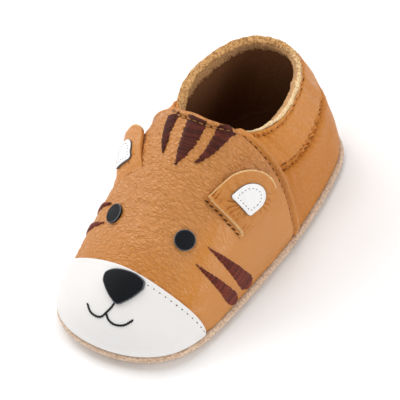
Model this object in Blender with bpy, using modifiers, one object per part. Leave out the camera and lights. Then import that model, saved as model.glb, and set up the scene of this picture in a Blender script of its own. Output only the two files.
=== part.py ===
"""Baby crawling shoe for the left foot: a soft leather upper with an animal face, a suede and rubber sole.

The toe points to -Y, the wearer's left (the outer side of the foot) to +X, and the floor is Z = 0.
Sizes are in millimetres and become metres as each mesh is made.
"""
import math

import bmesh
import bpy
import numpy as np

MM = 0.001

# Driving sizes of the shoe
LAST_LENGTH = 125.0     # along the seam between upper and sole, heel to toe
BALL_WIDTH = 56.6       # across that seam at the ball
INSTEP_HEIGHT = 56.2    # floor to the middle of the throat
HEEL_HEIGHT = 48.8      # floor to the collar at the heel
SEAM_HEIGHT = 5.0       # floor to the seam between upper and sole
TOE_SPRING = 0.8        # how far the tip of the toe lifts
SPRING_START = 40.0     # distance in front of the middle where the toe starts to lift
GAP = 0.3               # clearance between neighbouring pieces

# Upper: leather with its lining
WALL = 2.2              # leather and lining together
VAMP_EDGE_RISE = 1.3    # the vamp's turned edge stands this far off the quarter
VAMP_FADE = 0.45        # share of a section over which that rise runs out forwards
COLLAR_RISE = 0.6       # the elastic casing round the ankle stands this far off the quarter
COLLAR_SEAM = 0.57      # height of the casing's lower edge, 0 at the sole seam and 1 at the rim
STEP_HALF_U = 0.015     # half the width of the step at the vamp's edge
STEP_HALF_V = 0.008     # half the width of the step at the casing's edge
COLUMNS_PER_SECTION = 6
ROWS_BELOW_SEAM = 10
ROWS_ABOVE_SEAM = 7

# Half of the sections round the foot, from toe to heel. Each one is a curve from the sole seam up to
# the opening: station and top_station are shares of LAST_LENGTH from the heel, lateral, medial and
# top_half are shares of BALL_WIDTH, the top's height is a share of INSTEP_HEIGHT or of HEEL_HEIGHT, and
# belly (low) and shoulder (high) of the curve are millimetres outwards on the heading, up and down.
SECTION_COLUMNS = (
    "heading", "station", "medial_lead", "lateral", "medial", "low_out", "low_up",
    "high_out", "high_down", "top_station", "top_half", "instep_share", "heel_share",
)
SECTIONS = {
    "toe": (0, 1.0, 0, 0, 0, 1.6, 15.5, 22.0, 17.7, 0.471, 0, 1.0, 0),
    "toe_corner": (40, 0.912, 0.013, 0.396, 0.443, 1.3, 7.0, 17.0, 15.7, 0.469, 0.094, 0.984, 0),
    "ball": (80, 0.691, -0.003, 0.497, 0.500, 1.8, 13.9, 11.6, 4.4, 0.445, 0.172, 0.918, 0),
    "vamp_edge": (95, 0.428, 0, 0.507, 0.494, 0.9, 13.9, 14.6, 2.0, 0.413, 0.209, 0.815, 0),
    "heel_side": (115, 0.188, 0, 0.443, 0.432, 1.9, 11.4, 2.4, 15.7, 0.305, 0.343, 0, 0.933),
    "heel_corner": (150, 0.051, 0, 0.312, 0.312, 1.9, 10.8, 4.3, 9.9, 0.139, 0.244, 0, 0.983),
    "heel": (180, 0, 0, 0, 0, 2.4, 12.0, 4.9, 9.7, 0.084, 0, 0, 1.0),
}
SECTION_COUNT = 12
VAMP_EDGE = 3.0         # the vamp's rear edge runs along section 3 and its mirror

# Rings round the sole, from the top inwards to the underside: reach beyond the seam, height
OUTSOLE_PROFILE = {
    "bed": (-3.2, 3.3),
    "ledge_inside": (-3.0, 4.6),
    "ledge_outside": (0.5, 4.6),
    "shoulder": (1.0, 4.1),
    "edge": (1.25, 3.2),
    "turn": (0.9, 2.1),
    "underside": (-0.6, 1.3),
    "border": (-2.2, 1.15),
    "border_groove": (-3.2, 1.5),
    "bead": (-4.1, 1.0),
    "pad_groove": (-5.0, 1.5),
    "pad_recess": (-5.2, 2.3),
}
TREAD_PROFILE = {
    "top": (-5.5, 2.0),
    "side": (-5.5, 0.5),
    "ground": (-6.0, 0.0),
}
INSOLE_PROFILE = {
    "rim": (-4.1, 5.2),
    "top": (-3.6, 4.8),
    "bottom": (-3.6, 3.6),
}

# Toe cap: all of the vamp in front of a shallow arc across the toes
CAP_MIDDLE_Y = -43.8
CAP_ARC = 0.0038        # how far the arc bends back, per square millimetre from the middle
CAP_FOOT = 0.012        # where it starts above the sole seam
CAP_SIDE = 0.07         # where its sides end
CAP_THICKNESS = 0.8
CAP_REACH = 2.5         # its sides end somewhere in front of this section
CAP_COLUMNS = 26
CAP_ROWS = 7

# Patches on the face: place on the upper (section, height), then sizes
NOSE_PLACE = (0.068, 0.36)
NOSE_WIDTH = 14.2
NOSE_LENGTH = 11.6
NOSE_SHOULDER = 0.70    # share of the length at which the nose is widest
NOSE_TURNS = (0.25, math.pi - 0.2)      # where the outline is cut off at its tip and at its top
NOSE_THICKNESS = 0.8
EYE_PLACE = (0.73, 0.564)
EYE_DIAMETER = 7.0
EYE_THICKNESS = 0.8
EAR_WIDTH = 18.0
EAR_LENGTH = 20.0
EAR_STRAIGHT = 0.5      # share of the length before the round end
EAR_THICKNESS = 1.4
EAR_LIFT_CURVE = 1.4
EAR_EASE = 0.6          # rounds the bend where a stiff ear leaves the vamp
EAR_CURL_START = 10.0   # behind the sewn edge, where the curl is full
LINING_WIDTH = 8.9
LINING_LENGTH = 9.4
LINING_STRAIGHT = 0.45
LINING_THICKNESS = 0.6
LINING_GAP = 0.25
FLAP_SHOULDERS = (0.99, 1.0)            # width of a flap at its sewn edge and on its straight sides
STRIPE_THICKNESS = 0.5
STRIPE_TAPER = 0.75
STRIPE_POINT = 0.03     # share of the length cut off at the tip
PATCH_STATIONS = 10
PATCH_ACROSS = 5
ROUND_END = math.radians(80)

# Ears: middle of the sewn edge on the upper, turn of the flap away from straight back in radians, how far
# the free end lifts, how much of the vamp's fall behind the sewn edge the flap does not follow, how far its
# outer half curls down per square millimetre, and the distance from the sewn edge to the lining
EAR_COLUMNS = ("place", "turn", "lift", "stiffness", "curl", "lining_start")
EARS = {
    "lateral": ((1.53, 0.56), 0.0, 3.2, 0.0, 0.0, 6.6),
    "medial": ((-1.33, 0.62), -0.25, 0.6, 0.88, 0.05, 4.4),
}

# Embroidered stripes: the broad end and the tip as places on the upper, and the width of the broad end
STRIPE_COLUMNS = ("broad_end", "tip", "width")
STRIPES = {
    "brow_stripe_middle": ((0.33, 0.985), (0.06, 0.804), 7.2),
    "brow_stripe_lateral": ((2.06, 0.94), (0.56, 0.824), 6.0),
    "brow_stripe_medial": ((-1.28, 0.95), (-0.45, 0.82), 6.4),
    "cheek_stripe_lateral_rear": ((2.20, 0.035), (1.21, 0.509), 6.4),
    "cheek_stripe_lateral_front": ((1.95, 0.03), (1.02, 0.469), 5.8),
    "cheek_stripe_medial_rear": ((-2.20, 0.035), (-1.21, 0.509), 6.4),
    "cheek_stripe_medial_front": ((-1.95, 0.03), (-1.02, 0.469), 5.8),
}

# Colours are linear red, green, blue; then roughness
FINISHES = {
    "caramel_leather": ((0.55, 0.22, 0.065), 0.55),
    "white_leather": ((0.86, 0.84, 0.82), 0.45),
    "black_leather": ((0.012, 0.013, 0.016), 0.45),
    "brown_thread": ((0.065, 0.016, 0.013), 0.7),
    "beige_suede": ((0.60, 0.42, 0.27), 0.95),
    "brown_rubber": ((0.34, 0.20, 0.125), 0.75),
    "dark_lining": ((0.05, 0.02, 0.01), 0.85),
}

UP = np.array((0.0, 0.0, 1.0))
BACK = np.array((0.0, 1.0, 0.0))
SLOPE_STEP = 1e-3
SHEET_STEP = 0.05
PLACING_STEPS = 12
HALVINGS = 40
SHARP_ANGLE = math.radians(40)


def toe_lift(y):
    """How far the toe spring raises a point of the sole or of the seam."""
    forward = np.clip((-y - SPRING_START) / (LAST_LENGTH / 2 - SPRING_START), 0, None)
    return TOE_SPRING * forward ** 2


def section_controls(row, side):
    """The four control points of one section; side is 1 on the outer, -1 on the inner side of the foot."""
    size = dict(zip(SECTION_COLUMNS, row))
    heading = math.radians(size["heading"])
    outwards = np.array((side * math.sin(heading), -math.cos(heading), 0))
    width = size["lateral"] if side > 0 else size["medial"]
    lead = 0 if side > 0 else size["medial_lead"]
    base_y = (0.5 - size["station"] - lead) * LAST_LENGTH
    base = np.array((side * width * BALL_WIDTH, base_y, SEAM_HEIGHT + toe_lift(base_y)))
    top_y = (0.5 - size["top_station"]) * LAST_LENGTH
    top_z = size["instep_share"] * INSTEP_HEIGHT + size["heel_share"] * HEEL_HEIGHT
    top = np.array((side * size["top_half"] * BALL_WIDTH, top_y, top_z))
    belly = base + outwards * size["low_out"] + UP * size["low_up"]
    shoulder = top + outwards * size["high_out"] - UP * size["high_down"]
    return np.array((base, belly, shoulder, top))


def all_controls():
    """Sections 0 to 6 run from toe to heel on the outer side, 7 to 11 back to the toe on the inner one."""
    rows = list(SECTIONS.values())
    outer = [section_controls(row, 1) for row in rows]
    inner = [section_controls(row, -1) for row in rows[-2:0:-1]]
    return np.array(outer + inner)


def closed_slopes(knots):
    """Slopes of the smooth closed spline through equally spaced knots."""
    ring = np.eye(SECTION_COUNT)
    system = 4 * ring + np.roll(ring, 1, axis=1) + np.roll(ring, -1, axis=1)
    rhs = 3 * (np.roll(knots, -1, axis=0) - np.roll(knots, 1, axis=0))
    return np.linalg.solve(system, rhs.reshape(SECTION_COUNT, -1)).reshape(knots.shape)


CONTROLS = all_controls()
SLOPES = closed_slopes(CONTROLS)


def upper_point(u, v):
    """Outer face of the leather: u counts sections round the foot, v runs from sole seam to rim."""
    u, v = np.broadcast_arrays(np.asarray(u, float), np.asarray(v, float))
    before = np.floor(u).astype(int)
    t = (u - before)[..., None, None]
    first, second = before % SECTION_COUNT, (before + 1) % SECTION_COUNT
    curve = (
        (1 + 2 * t) * (1 - t) ** 2 * CONTROLS[first] + t * (1 - t) ** 2 * SLOPES[first]
        + t * t * (3 - 2 * t) * CONTROLS[second] + t * t * (t - 1) * SLOPES[second]
    )
    v = v[..., None]
    base, belly, shoulder, top = (curve[..., k, :] for k in range(4))
    lower = (1 - v) ** 3 * base + 3 * v * (1 - v) ** 2 * belly
    return lower + 3 * v * v * (1 - v) * shoulder + v ** 3 * top


def upper_slopes(u, v):
    """Derivatives of the upper's face round the foot and up the section."""
    around = upper_point(u + SLOPE_STEP, v) - upper_point(u - SLOPE_STEP, v)
    along = upper_point(u, v + SLOPE_STEP) - upper_point(u, v - SLOPE_STEP)
    return around / (2 * SLOPE_STEP), along / (2 * SLOPE_STEP)


def unit(vector):
    return vector / np.linalg.norm(vector, axis=-1, keepdims=True)


def upper_offset(u, v, rise):
    """A point that stands off the upper's face by rise."""
    u, v = np.broadcast_arrays(np.asarray(u, float), np.asarray(v, float))
    around, along = upper_slopes(u, v)
    return upper_point(u, v) + unit(np.cross(around, along)) * np.asarray(rise)[..., None]


def outer_rise(u, v):
    """Steps of the upper's outer face: the vamp's turned edge and the collar casing."""
    from_toe = np.minimum(u, SECTION_COUNT - u)
    vamp = VAMP_EDGE_RISE * np.clip(1 - (VAMP_EDGE - from_toe) / VAMP_FADE, 0, 1)
    casing = COLLAR_RISE * (v > COLLAR_SEAM)
    return np.where(from_toe < VAMP_EDGE, vamp, casing)


def seam_ring(reach, height):
    """A ring that follows the sole seam at a distance, raised by the toe spring."""
    u = np.arange(SECTION_COUNT * COLUMNS_PER_SECTION) / COLUMNS_PER_SECTION
    seam = upper_point(u, 0.0)
    around = upper_slopes(u, 0.0)[0]
    outwards = unit(np.stack((around[:, 1], -around[:, 0], 0 * u), axis=-1))
    ring = seam + outwards * reach
    ring[:, 2] = height + toe_lift(ring[:, 1])
    return ring


def finish(name):
    """The material of one finish, made when it is first asked for."""
    material = bpy.data.materials.get(name)
    if material is None:
        colour, roughness = FINISHES[name]
        material = bpy.data.materials.new(name)
        material.use_nodes = True
        shader = material.node_tree.nodes["Principled BSDF"]
        shader.inputs["Base Color"].default_value = (*colour, 1.0)
        shader.inputs["Roughness"].default_value = roughness
        shader.inputs["Metallic"].default_value = 0.0
    return material


def add_part(name, mesh_data, finish_name):
    """Turn a bmesh into a named object of the shoe."""
    bmesh.ops.recalc_face_normals(mesh_data, faces=mesh_data.faces)
    mesh = bpy.data.meshes.new(name)
    mesh_data.to_mesh(mesh)
    mesh_data.free()
    mesh.materials.append(finish(finish_name))
    mesh.shade_smooth()
    mesh.set_sharp_from_angle(angle=SHARP_ANGLE)
    part = bpy.data.objects.new(name, mesh)
    shoe.objects.link(part)
    return part


def add_rows(mesh_data, rows):
    """Vertices for rows of points in millimetres."""
    return [[mesh_data.verts.new(point * MM) for point in row] for row in rows]


def bridge(mesh_data, lower, upper, closed):
    """Quads between two rows of vertices."""
    count = len(lower)
    for k in range(count if closed else count - 1):
        n = (k + 1) % count
        mesh_data.faces.new((lower[k], lower[n], upper[n], upper[k]))


def close_across(mesh_data, ring):
    """Close a ring with strips from side to side, toe to heel."""
    count = len(ring)
    for k in range(count // 2):
        strip = (ring[k], ring[k + 1], ring[count - k - 1], ring[-k])
        mesh_data.faces.new(list(dict.fromkeys(strip)))


def sole_part(name, profile, finish_name):
    """A layer of the sole: rings along its profile, closed at both ends."""
    mesh_data = bmesh.new()
    rings = add_rows(mesh_data, [seam_ring(*place) for place in profile.values()])
    for lower, upper in zip(rings, rings[1:]):
        bridge(mesh_data, lower, upper, closed=True)
    close_across(mesh_data, rings[0])
    close_across(mesh_data, rings[-1])
    return add_part(name, mesh_data, finish_name)


def upper_part():
    """The upper: outer and inner face, joined along the sole seam and the rim of the opening."""
    u = np.arange(SECTION_COUNT * COLUMNS_PER_SECTION) / COLUMNS_PER_SECTION
    edges = (VAMP_EDGE, SECTION_COUNT - VAMP_EDGE)
    u = u[~np.isin(u, edges)]
    u = np.sort(np.concatenate([u] + [(edge - STEP_HALF_U, edge + STEP_HALF_U) for edge in edges]))
    below = np.linspace(0, COLLAR_SEAM - STEP_HALF_V, ROWS_BELOW_SEAM)
    above = np.linspace(COLLAR_SEAM + STEP_HALF_V, 1, ROWS_ABOVE_SEAM)
    heights = np.concatenate((below, above))
    mesh_data = bmesh.new()
    outside = add_rows(mesh_data, [upper_offset(u, v, outer_rise(u, v)) for v in heights])
    inside = add_rows(mesh_data, [upper_offset(u, v, np.full(u.shape, -WALL)) for v in heights])
    for face in (outside, inside):
        for lower, upper in zip(face, face[1:]):
            bridge(mesh_data, lower, upper, closed=True)
    bridge(mesh_data, outside[0], inside[0], closed=True)
    bridge(mesh_data, outside[-1], inside[-1], closed=True)
    return add_part("upper", mesh_data, "caramel_leather")


def patch_part(name, rows, thickness, finish_name):
    """A sheet that lies over the upper: an open grid of points, thickened outwards."""
    mesh_data = bmesh.new()
    lines = add_rows(mesh_data, rows)
    for lower, upper in zip(lines, lines[1:]):
        bridge(mesh_data, lower, upper, closed=False)
    part = add_part(name, mesh_data, finish_name)
    outwards = np.cross(rows[0][1] - rows[0][0], rows[1][0] - rows[0][0])
    if np.dot(outwards, part.data.polygons[0].normal) < 0:
        part.data.flip_normals()
    sheet = part.modifiers.new("thickness", "SOLIDIFY")
    sheet.thickness = thickness * MM
    sheet.offset = 1
    return part


def place_on_upper(origin, forwards, across, ahead):
    """Section and height of the points that lie across and ahead of an origin, seen square on to it."""
    u0, v0 = origin
    around, along = upper_slopes(u0, v0)
    normal = unit(np.cross(around, along))
    ahead_axis = unit(forwards - normal * np.dot(forwards, normal))
    across_axis = np.cross(ahead_axis, normal)
    centre = upper_point(u0, v0)
    across, ahead = np.broadcast_arrays(np.asarray(across, float), np.asarray(ahead, float))
    u, v = np.full(across.shape, u0), np.full(across.shape, v0)
    for _ in range(PLACING_STEPS):
        off = upper_point(u, v) - centre
        du, dv = upper_slopes(u, v)
        miss_a, miss_b = across - off @ across_axis, ahead - off @ ahead_axis
        aa, ab = du @ across_axis, dv @ across_axis
        ba, bb = du @ ahead_axis, dv @ ahead_axis
        scale = 1 / (aa * bb - ab * ba)
        u = u + (bb * miss_a - ab * miss_b) * scale
        v = v + (aa * miss_b - ba * miss_a) * scale
    return u, v


def outline_patch(name, origin, forwards, ahead, half_widths, rise, thickness, finish_name):
    """A patch given by its half width at distances ahead of an origin; rise depends on that distance."""
    spread = np.linspace(-1, 1, PATCH_ACROSS)
    across = half_widths[:, None] * spread
    ahead = np.repeat(ahead[:, None], PATCH_ACROSS, axis=1)
    u, v = place_on_upper(origin, forwards, across, ahead)
    return patch_part(name, upper_offset(u, v, rise(ahead)), thickness, finish_name)


def flat_rise(distance):
    return np.full(np.shape(distance), GAP)


def disc_outline(diameter):
    turn = np.linspace(-ROUND_END, ROUND_END, PATCH_STATIONS)
    return diameter / 2 * np.sin(turn), diameter / 2 * np.cos(turn)


def flap_outline(width, length, straight):
    """A D: a straight edge, parallel sides and a round end."""
    turn = np.linspace(0, ROUND_END, PATCH_STATIONS - len(FLAP_SHOULDERS))
    ends = np.array((0, straight / 2)) * length
    round_end = length * (straight + (1 - straight) * np.sin(turn))
    halves = width / 2 * np.concatenate((FLAP_SHOULDERS, np.cos(turn)))
    return np.concatenate((ends, round_end)), halves


def nose_outline():
    """A soft triangle with its tip down."""
    share = 0.5 - 0.5 * np.cos(np.linspace(*NOSE_TURNS, PATCH_STATIONS))
    widening = np.sin(np.clip(share / NOSE_SHOULDER, 0, 1) * math.pi / 2)
    past = np.clip((share - NOSE_SHOULDER) / (1 - NOSE_SHOULDER), 0, 1)
    return (share - 0.5) * NOSE_LENGTH, NOSE_WIDTH / 2 * widening * np.sqrt(1 - past ** 2)


def ear_points(ear, across, ahead):
    """Underside of an ear: on the vamp along its sewn edge, standing off it behind."""
    around, along = upper_slopes(*ear["place"])
    normal = unit(np.cross(around, along))
    straight = unit(BACK - normal * np.dot(BACK, normal))
    forwards = math.cos(ear["turn"]) * straight + math.sin(ear["turn"]) * np.cross(straight, normal)
    u, v = place_on_upper(ear["place"], forwards, across, ahead)
    sewn = upper_point(*place_on_upper(ear["place"], forwards, across, 0.0))
    share = np.clip(ahead / EAR_LENGTH, 0, 1)
    fall = (sewn - upper_point(u, v)) @ normal
    held = ear["stiffness"] * (fall + np.hypot(fall, EAR_EASE * share)) / 2
    curl = ear["curl"] * np.clip(across, None, 0) ** 2 * np.clip(ahead / EAR_CURL_START, 0, 1) ** 1.5
    follow = upper_offset(u, v, GAP + ear["lift"] * share ** EAR_LIFT_CURVE)
    return follow + normal * np.clip(held - curl, 0, None)[..., None]


def ear_sheet(name, ear, start, outline, above, thickness, finish_name):
    """A flap whose straight edge lies start behind the ear's sewn edge, at a distance above the ear."""
    ahead, halves = outline
    across = halves[:, None] * np.linspace(-1, 1, PATCH_ACROSS)
    ahead = np.repeat(ahead[:, None], PATCH_ACROSS, axis=1) + start
    points = ear_points(ear, across, ahead)
    sideways = ear_points(ear, across + SHEET_STEP, ahead) - points
    onwards = ear_points(ear, across, ahead + SHEET_STEP) - points
    return patch_part(name, points + unit(np.cross(sideways, onwards)) * above, thickness, finish_name)


def ear_with_lining(side):
    """One ear: a flap sewn along its front edge with a small lining on its face."""
    ear = dict(zip(EAR_COLUMNS, EARS[side]))
    flap = flap_outline(EAR_WIDTH, EAR_LENGTH, EAR_STRAIGHT)
    ear_sheet(f"ear_{side}", ear, 0.0, flap, 0.0, EAR_THICKNESS, "caramel_leather")
    lining = flap_outline(LINING_WIDTH, LINING_LENGTH, LINING_STRAIGHT)
    above = EAR_THICKNESS + LINING_GAP
    start = ear["lining_start"]
    ear_sheet(f"ear_lining_{side}", ear, start, lining, above, LINING_THICKNESS, "white_leather")


def toe_cap_part():
    """The part of the vamp's surface in front of the cap's arc, as a sheet of its own."""
    def boundary(u):
        low, high = 0.0, 1.0
        for _ in range(HALVINGS):
            middle = (low + high) / 2
            x, y, _z = upper_point(u, middle)
            in_front = y < CAP_MIDDLE_Y + CAP_ARC * x * x
            low, high = (middle, high) if in_front else (low, middle)
        return low

    def side_end(sign):
        near, far = 0.0, CAP_REACH
        for _ in range(HALVINGS):
            middle = (near + far) / 2
            near, far = (middle, far) if boundary(sign * middle) > CAP_SIDE else (near, middle)
        return sign * near

    u = np.linspace(side_end(-1), side_end(1), CAP_COLUMNS)
    tops = np.array([boundary(each) for each in u])
    shares = np.linspace(0, 1, CAP_ROWS)[:, None]
    v = CAP_FOOT + (tops - CAP_FOOT) * shares
    rows = upper_offset(u[None, :], v, np.full(v.shape, GAP))
    return patch_part("toe_cap", rows, CAP_THICKNESS, "white_leather")


def stripe_part(name, row):
    """An embroidered wedge between two places on the upper."""
    size = dict(zip(STRIPE_COLUMNS, row))
    around, along = upper_slopes(*size["tip"])
    normal = unit(np.cross(around, along))
    chord = upper_point(*size["broad_end"]) - upper_point(*size["tip"])
    length = np.linalg.norm(chord - normal * np.dot(chord, normal))
    share = np.linspace(STRIPE_POINT, 1, PATCH_STATIONS)
    halves = size["width"] / 2 * share ** STRIPE_TAPER
    outline_patch(
        name, size["tip"], chord, share * length, halves, flat_rise, STRIPE_THICKNESS, "brown_thread",
    )


for old in list(bpy.data.objects):
    bpy.data.objects.remove(old, do_unlink=True)
shoe = bpy.data.collections.new("baby_crawling_shoe")
bpy.context.scene.collection.children.link(shoe)

sole_part("outsole", OUTSOLE_PROFILE, "beige_suede")
sole_part("tread_pad", TREAD_PROFILE, "brown_rubber")
sole_part("insole", INSOLE_PROFILE, "dark_lining")
upper_part()
toe_cap_part()
outline_patch(
    "nose", NOSE_PLACE, UP, *nose_outline(),
    lambda distance: flat_rise(distance) + CAP_THICKNESS + GAP, NOSE_THICKNESS, "black_leather",
)
for side, sign in (("lateral", 1), ("medial", -1)):
    eye = (sign * EYE_PLACE[0], EYE_PLACE[1])
    outline_patch(
        f"eye_{side}", eye, UP, *disc_outline(EYE_DIAMETER), flat_rise, EYE_THICKNESS, "black_leather",
    )
    ear_with_lining(side)
for stripe_name, stripe_row in STRIPES.items():
    stripe_part(stripe_name, stripe_row)
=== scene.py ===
import math

import bpy
import numpy as np
from mathutils import Matrix


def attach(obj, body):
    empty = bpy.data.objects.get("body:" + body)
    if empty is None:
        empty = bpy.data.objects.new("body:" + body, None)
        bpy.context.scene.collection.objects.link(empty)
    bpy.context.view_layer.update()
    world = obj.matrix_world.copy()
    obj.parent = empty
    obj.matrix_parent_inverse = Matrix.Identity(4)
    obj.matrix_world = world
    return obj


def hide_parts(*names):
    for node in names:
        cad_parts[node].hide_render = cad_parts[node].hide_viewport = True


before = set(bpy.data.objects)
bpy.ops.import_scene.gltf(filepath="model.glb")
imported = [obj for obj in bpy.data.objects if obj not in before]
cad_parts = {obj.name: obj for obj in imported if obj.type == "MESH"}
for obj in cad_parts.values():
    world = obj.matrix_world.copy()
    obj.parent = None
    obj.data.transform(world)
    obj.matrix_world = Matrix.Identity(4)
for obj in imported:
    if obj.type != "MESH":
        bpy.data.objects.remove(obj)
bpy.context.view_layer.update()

mm = 0.001
dice = np.random.default_rng(41)
up = np.array((0.0, 0.0, 1.0))
back = np.array((0.0, 1.0, 0.0))


def unit(vector):
    return vector / np.linalg.norm(vector, axis=-1, keepdims=True)


def axesMatrix(xAxis, yAxis, zAxis, place):
    return Matrix([*np.column_stack((xAxis, yAxis, zAxis, place)).tolist(), [0, 0, 0, 1]])


# camera: where the photograph was taken from, seen from the shoe
cameraSet = {
    "azimuth": 41.56, "elevation": 44.46, "roll": -10.71,
    "target": (0.0, 2.55, 25.0),    # mm
    "distance": 840.1,              # mm
    "scale": 2.95,                  # pixels per mm at the target
    "targetPixel": (204.9, 181.0),  # where the target lands in the image
    "imageSize": 400, "sensor": 36.0,
    "clipStart": 0.01,              # m
}


def placeCamera(s):
    a, e, r = (math.radians(s[k]) for k in ("azimuth", "elevation", "roll"))
    towards = np.array((math.sin(a) * math.cos(e), -math.cos(a) * math.cos(e), math.sin(e)))
    right = np.array((math.cos(a), math.sin(a), 0))
    top = np.cross(towards, right)
    right, top = math.cos(r) * right + math.sin(r) * top, -math.sin(r) * right + math.cos(r) * top
    focal = s["distance"] * s["scale"]
    half = s["imageSize"] / 2
    pan = math.atan((s["targetPixel"][0] - half) / focal)
    tilt = math.atan((half - s["targetPixel"][1]) / focal)
    xAxis = right * math.cos(pan) - towards * math.sin(pan)
    zAxis = right * math.sin(pan) + towards * math.cos(pan)
    yAxis = top * math.cos(tilt) - zAxis * math.sin(tilt)
    zAxis = top * math.sin(tilt) + zAxis * math.cos(tilt)
    lens = bpy.data.cameras.new("camera")
    lens.sensor_width = s["sensor"]
    lens.lens = s["sensor"] * focal / s["imageSize"]
    lens.clip_start = s["clipStart"]
    camera = bpy.data.objects.new("camera", lens)
    place = (np.array(s["target"]) + towards * s["distance"]) * mm
    camera.matrix_world = axesMatrix(xAxis, yAxis, zAxis, place)
    bpy.context.scene.collection.objects.link(camera)
    bpy.context.scene.camera = camera


placeCamera(cameraSet)
print("camera placed")

# the upper's own surface, mm: u counts the sections round the foot, v runs from the sole seam to the rim
last = {
    "length": 125.0, "ballWidth": 56.6, "instepHeight": 56.2, "heelHeight": 48.8, "seamHeight": 5.0,
    "toeSpring": 0.8, "springStart": 40.0, "wall": 2.2, "collarSeam": 0.57, "vampEdge": 3.0,
}
sectionColumns = ("heading", "station", "medialLead", "lateral", "medial", "lowOut", "lowUp",
                  "highOut", "highDown", "topStation", "topHalf", "instepShare", "heelShare")
sections = {
    "toe": (0, 1.0, 0, 0, 0, 1.6, 15.5, 22.0, 17.7, 0.471, 0, 1.0, 0),
    "toeCorner": (40, 0.912, 0.013, 0.396, 0.443, 1.3, 7.0, 17.0, 15.7, 0.469, 0.094, 0.984, 0),
    "ball": (80, 0.691, -0.003, 0.497, 0.500, 1.8, 13.9, 11.6, 4.4, 0.445, 0.172, 0.918, 0),
    "vampEdge": (95, 0.428, 0, 0.507, 0.494, 0.9, 13.9, 14.6, 2.0, 0.413, 0.209, 0.815, 0),
    "heelSide": (115, 0.188, 0, 0.443, 0.432, 1.9, 11.4, 2.4, 15.7, 0.305, 0.343, 0, 0.933),
    "heelCorner": (150, 0.051, 0, 0.312, 0.312, 1.9, 10.8, 4.3, 9.9, 0.139, 0.244, 0, 0.983),
    "heel": (180, 0, 0, 0, 0, 2.4, 12.0, 4.9, 9.7, 0.084, 0, 0, 1.0),
}
sectionCount = 12
girthPerSection = 24.0                  # about mm round the collar
slopeStep = 1e-3
nearZero = 1e-3
solveRounds, halvings = 12, 40          # enough for the searches on the surface to settle
waveRates, waveScale = (1, 1.37, 0.61, 1.83), 2.4
hashDirection, hashStep, hashFold = np.array((12.9898, 78.233, 37.719)), 4.7, 43758.5453
pebbleCrease, pebbleSharpness = 0.6, 2.5


def smoothStep(low, high, x):
    t = np.clip((x - low) / (high - low), 0, 1)
    return t * t * (3 - 2 * t)


def bump(x, width):
    return np.exp(-(x / width) ** 2)


def trough(off, width, bank, bankAt, bankWidth):  # a crease with a low bank beside it
    return -bump(off, width) + bank * bump(off - bankAt * width, bankWidth * width)


def quarterRound(share):  # 0 at a share of 1, and along a quarter circle to 1 at 0
    return 1 - np.sqrt(1 - (1 - share) ** 2)


def waver(x, pitch, seed):  # a smooth random wave of about -1 to 1
    turns = np.random.default_rng(seed).uniform(0, 2 * math.pi, len(waveRates))
    return sum(np.sin(2 * math.pi * x / pitch * rate + t) for rate, t in zip(waveRates, turns)) / waveScale


def swells(x, y, waves):  # soft unevenness from two waves, each with its pitch and seed
    return waver(x, *waves[0]) * waver(y, *waves[1])


def hashed(cells, seed):  # a fixed random number between 0 and 1 for each cell
    return np.modf(np.abs(np.sin(cells @ hashDirection + hashStep * seed)) * hashFold)[0]


def pebbleRelief(points, cell):  # 0 in the creases between tumbled pebbles of that size in mm, 1 on crowns
    scaled = points / np.array(cell)
    home = np.floor(scaled)
    nearest, second = np.full(scaled.shape[:-1], np.inf), np.full(scaled.shape[:-1], np.inf)
    for step in np.ndindex(3, 3, 3):
        corner = home + np.array(step) - 1
        seedPoint = corner + np.stack([hashed(corner, k) for k in range(3)], axis=-1)
        away = np.linalg.norm(scaled - seedPoint, axis=-1)
        second = np.minimum(second, np.maximum(nearest, away))
        nearest = np.minimum(nearest, away)
    return 1 - np.clip(1 - (second - nearest) / pebbleCrease, 0, 1) ** pebbleSharpness


def toeLift(y):
    forward = np.clip((-y - last["springStart"]) / (last["length"] / 2 - last["springStart"]), 0, None)
    return last["toeSpring"] * forward ** 2


def sectionControls(row, side):
    s = dict(zip(sectionColumns, row))
    heading = math.radians(s["heading"])
    out = np.array((side * math.sin(heading), -math.cos(heading), 0))
    width = s["lateral"] if side > 0 else s["medial"]
    lead = 0 if side > 0 else s["medialLead"]
    baseY = (0.5 - s["station"] - lead) * last["length"]
    base = np.array((side * width * last["ballWidth"], baseY, last["seamHeight"] + toeLift(baseY)))
    topY = (0.5 - s["topStation"]) * last["length"]
    topZ = s["instepShare"] * last["instepHeight"] + s["heelShare"] * last["heelHeight"]
    top = np.array((side * s["topHalf"] * last["ballWidth"], topY, topZ))
    return np.array((base, base + out * s["lowOut"] + up * s["lowUp"],
                     top + out * s["highOut"] - up * s["highDown"], top))


def closedSlopes(knots):
    ring = np.eye(sectionCount)
    system = 4 * ring + np.roll(ring, 1, axis=1) + np.roll(ring, -1, axis=1)
    rhs = 3 * (np.roll(knots, -1, axis=0) - np.roll(knots, 1, axis=0))
    return np.linalg.solve(system, rhs.reshape(sectionCount, -1)).reshape(knots.shape)


lateralRows = list(sections.values())
medialRows = lateralRows[-2:0:-1]
controls = np.array([sectionControls(row, 1) for row in lateralRows]
                    + [sectionControls(row, -1) for row in medialRows])
slopes = closedSlopes(controls)


def upperPoint(u, v):
    u, v = np.broadcast_arrays(np.asarray(u, float), np.asarray(v, float))
    before = np.floor(u).astype(int)
    t = (u - before)[..., None, None]
    a, b = before % sectionCount, (before + 1) % sectionCount
    curve = ((1 + 2 * t) * (1 - t) ** 2 * controls[a] + t * (1 - t) ** 2 * slopes[a]
             + t * t * (3 - 2 * t) * controls[b] + t * t * (t - 1) * slopes[b])
    v = v[..., None]
    base, belly, shoulder, top = (curve[..., k, :] for k in range(4))
    return ((1 - v) ** 3 * base + 3 * v * (1 - v) ** 2 * belly
            + 3 * v * v * (1 - v) * shoulder + v ** 3 * top)


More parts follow.
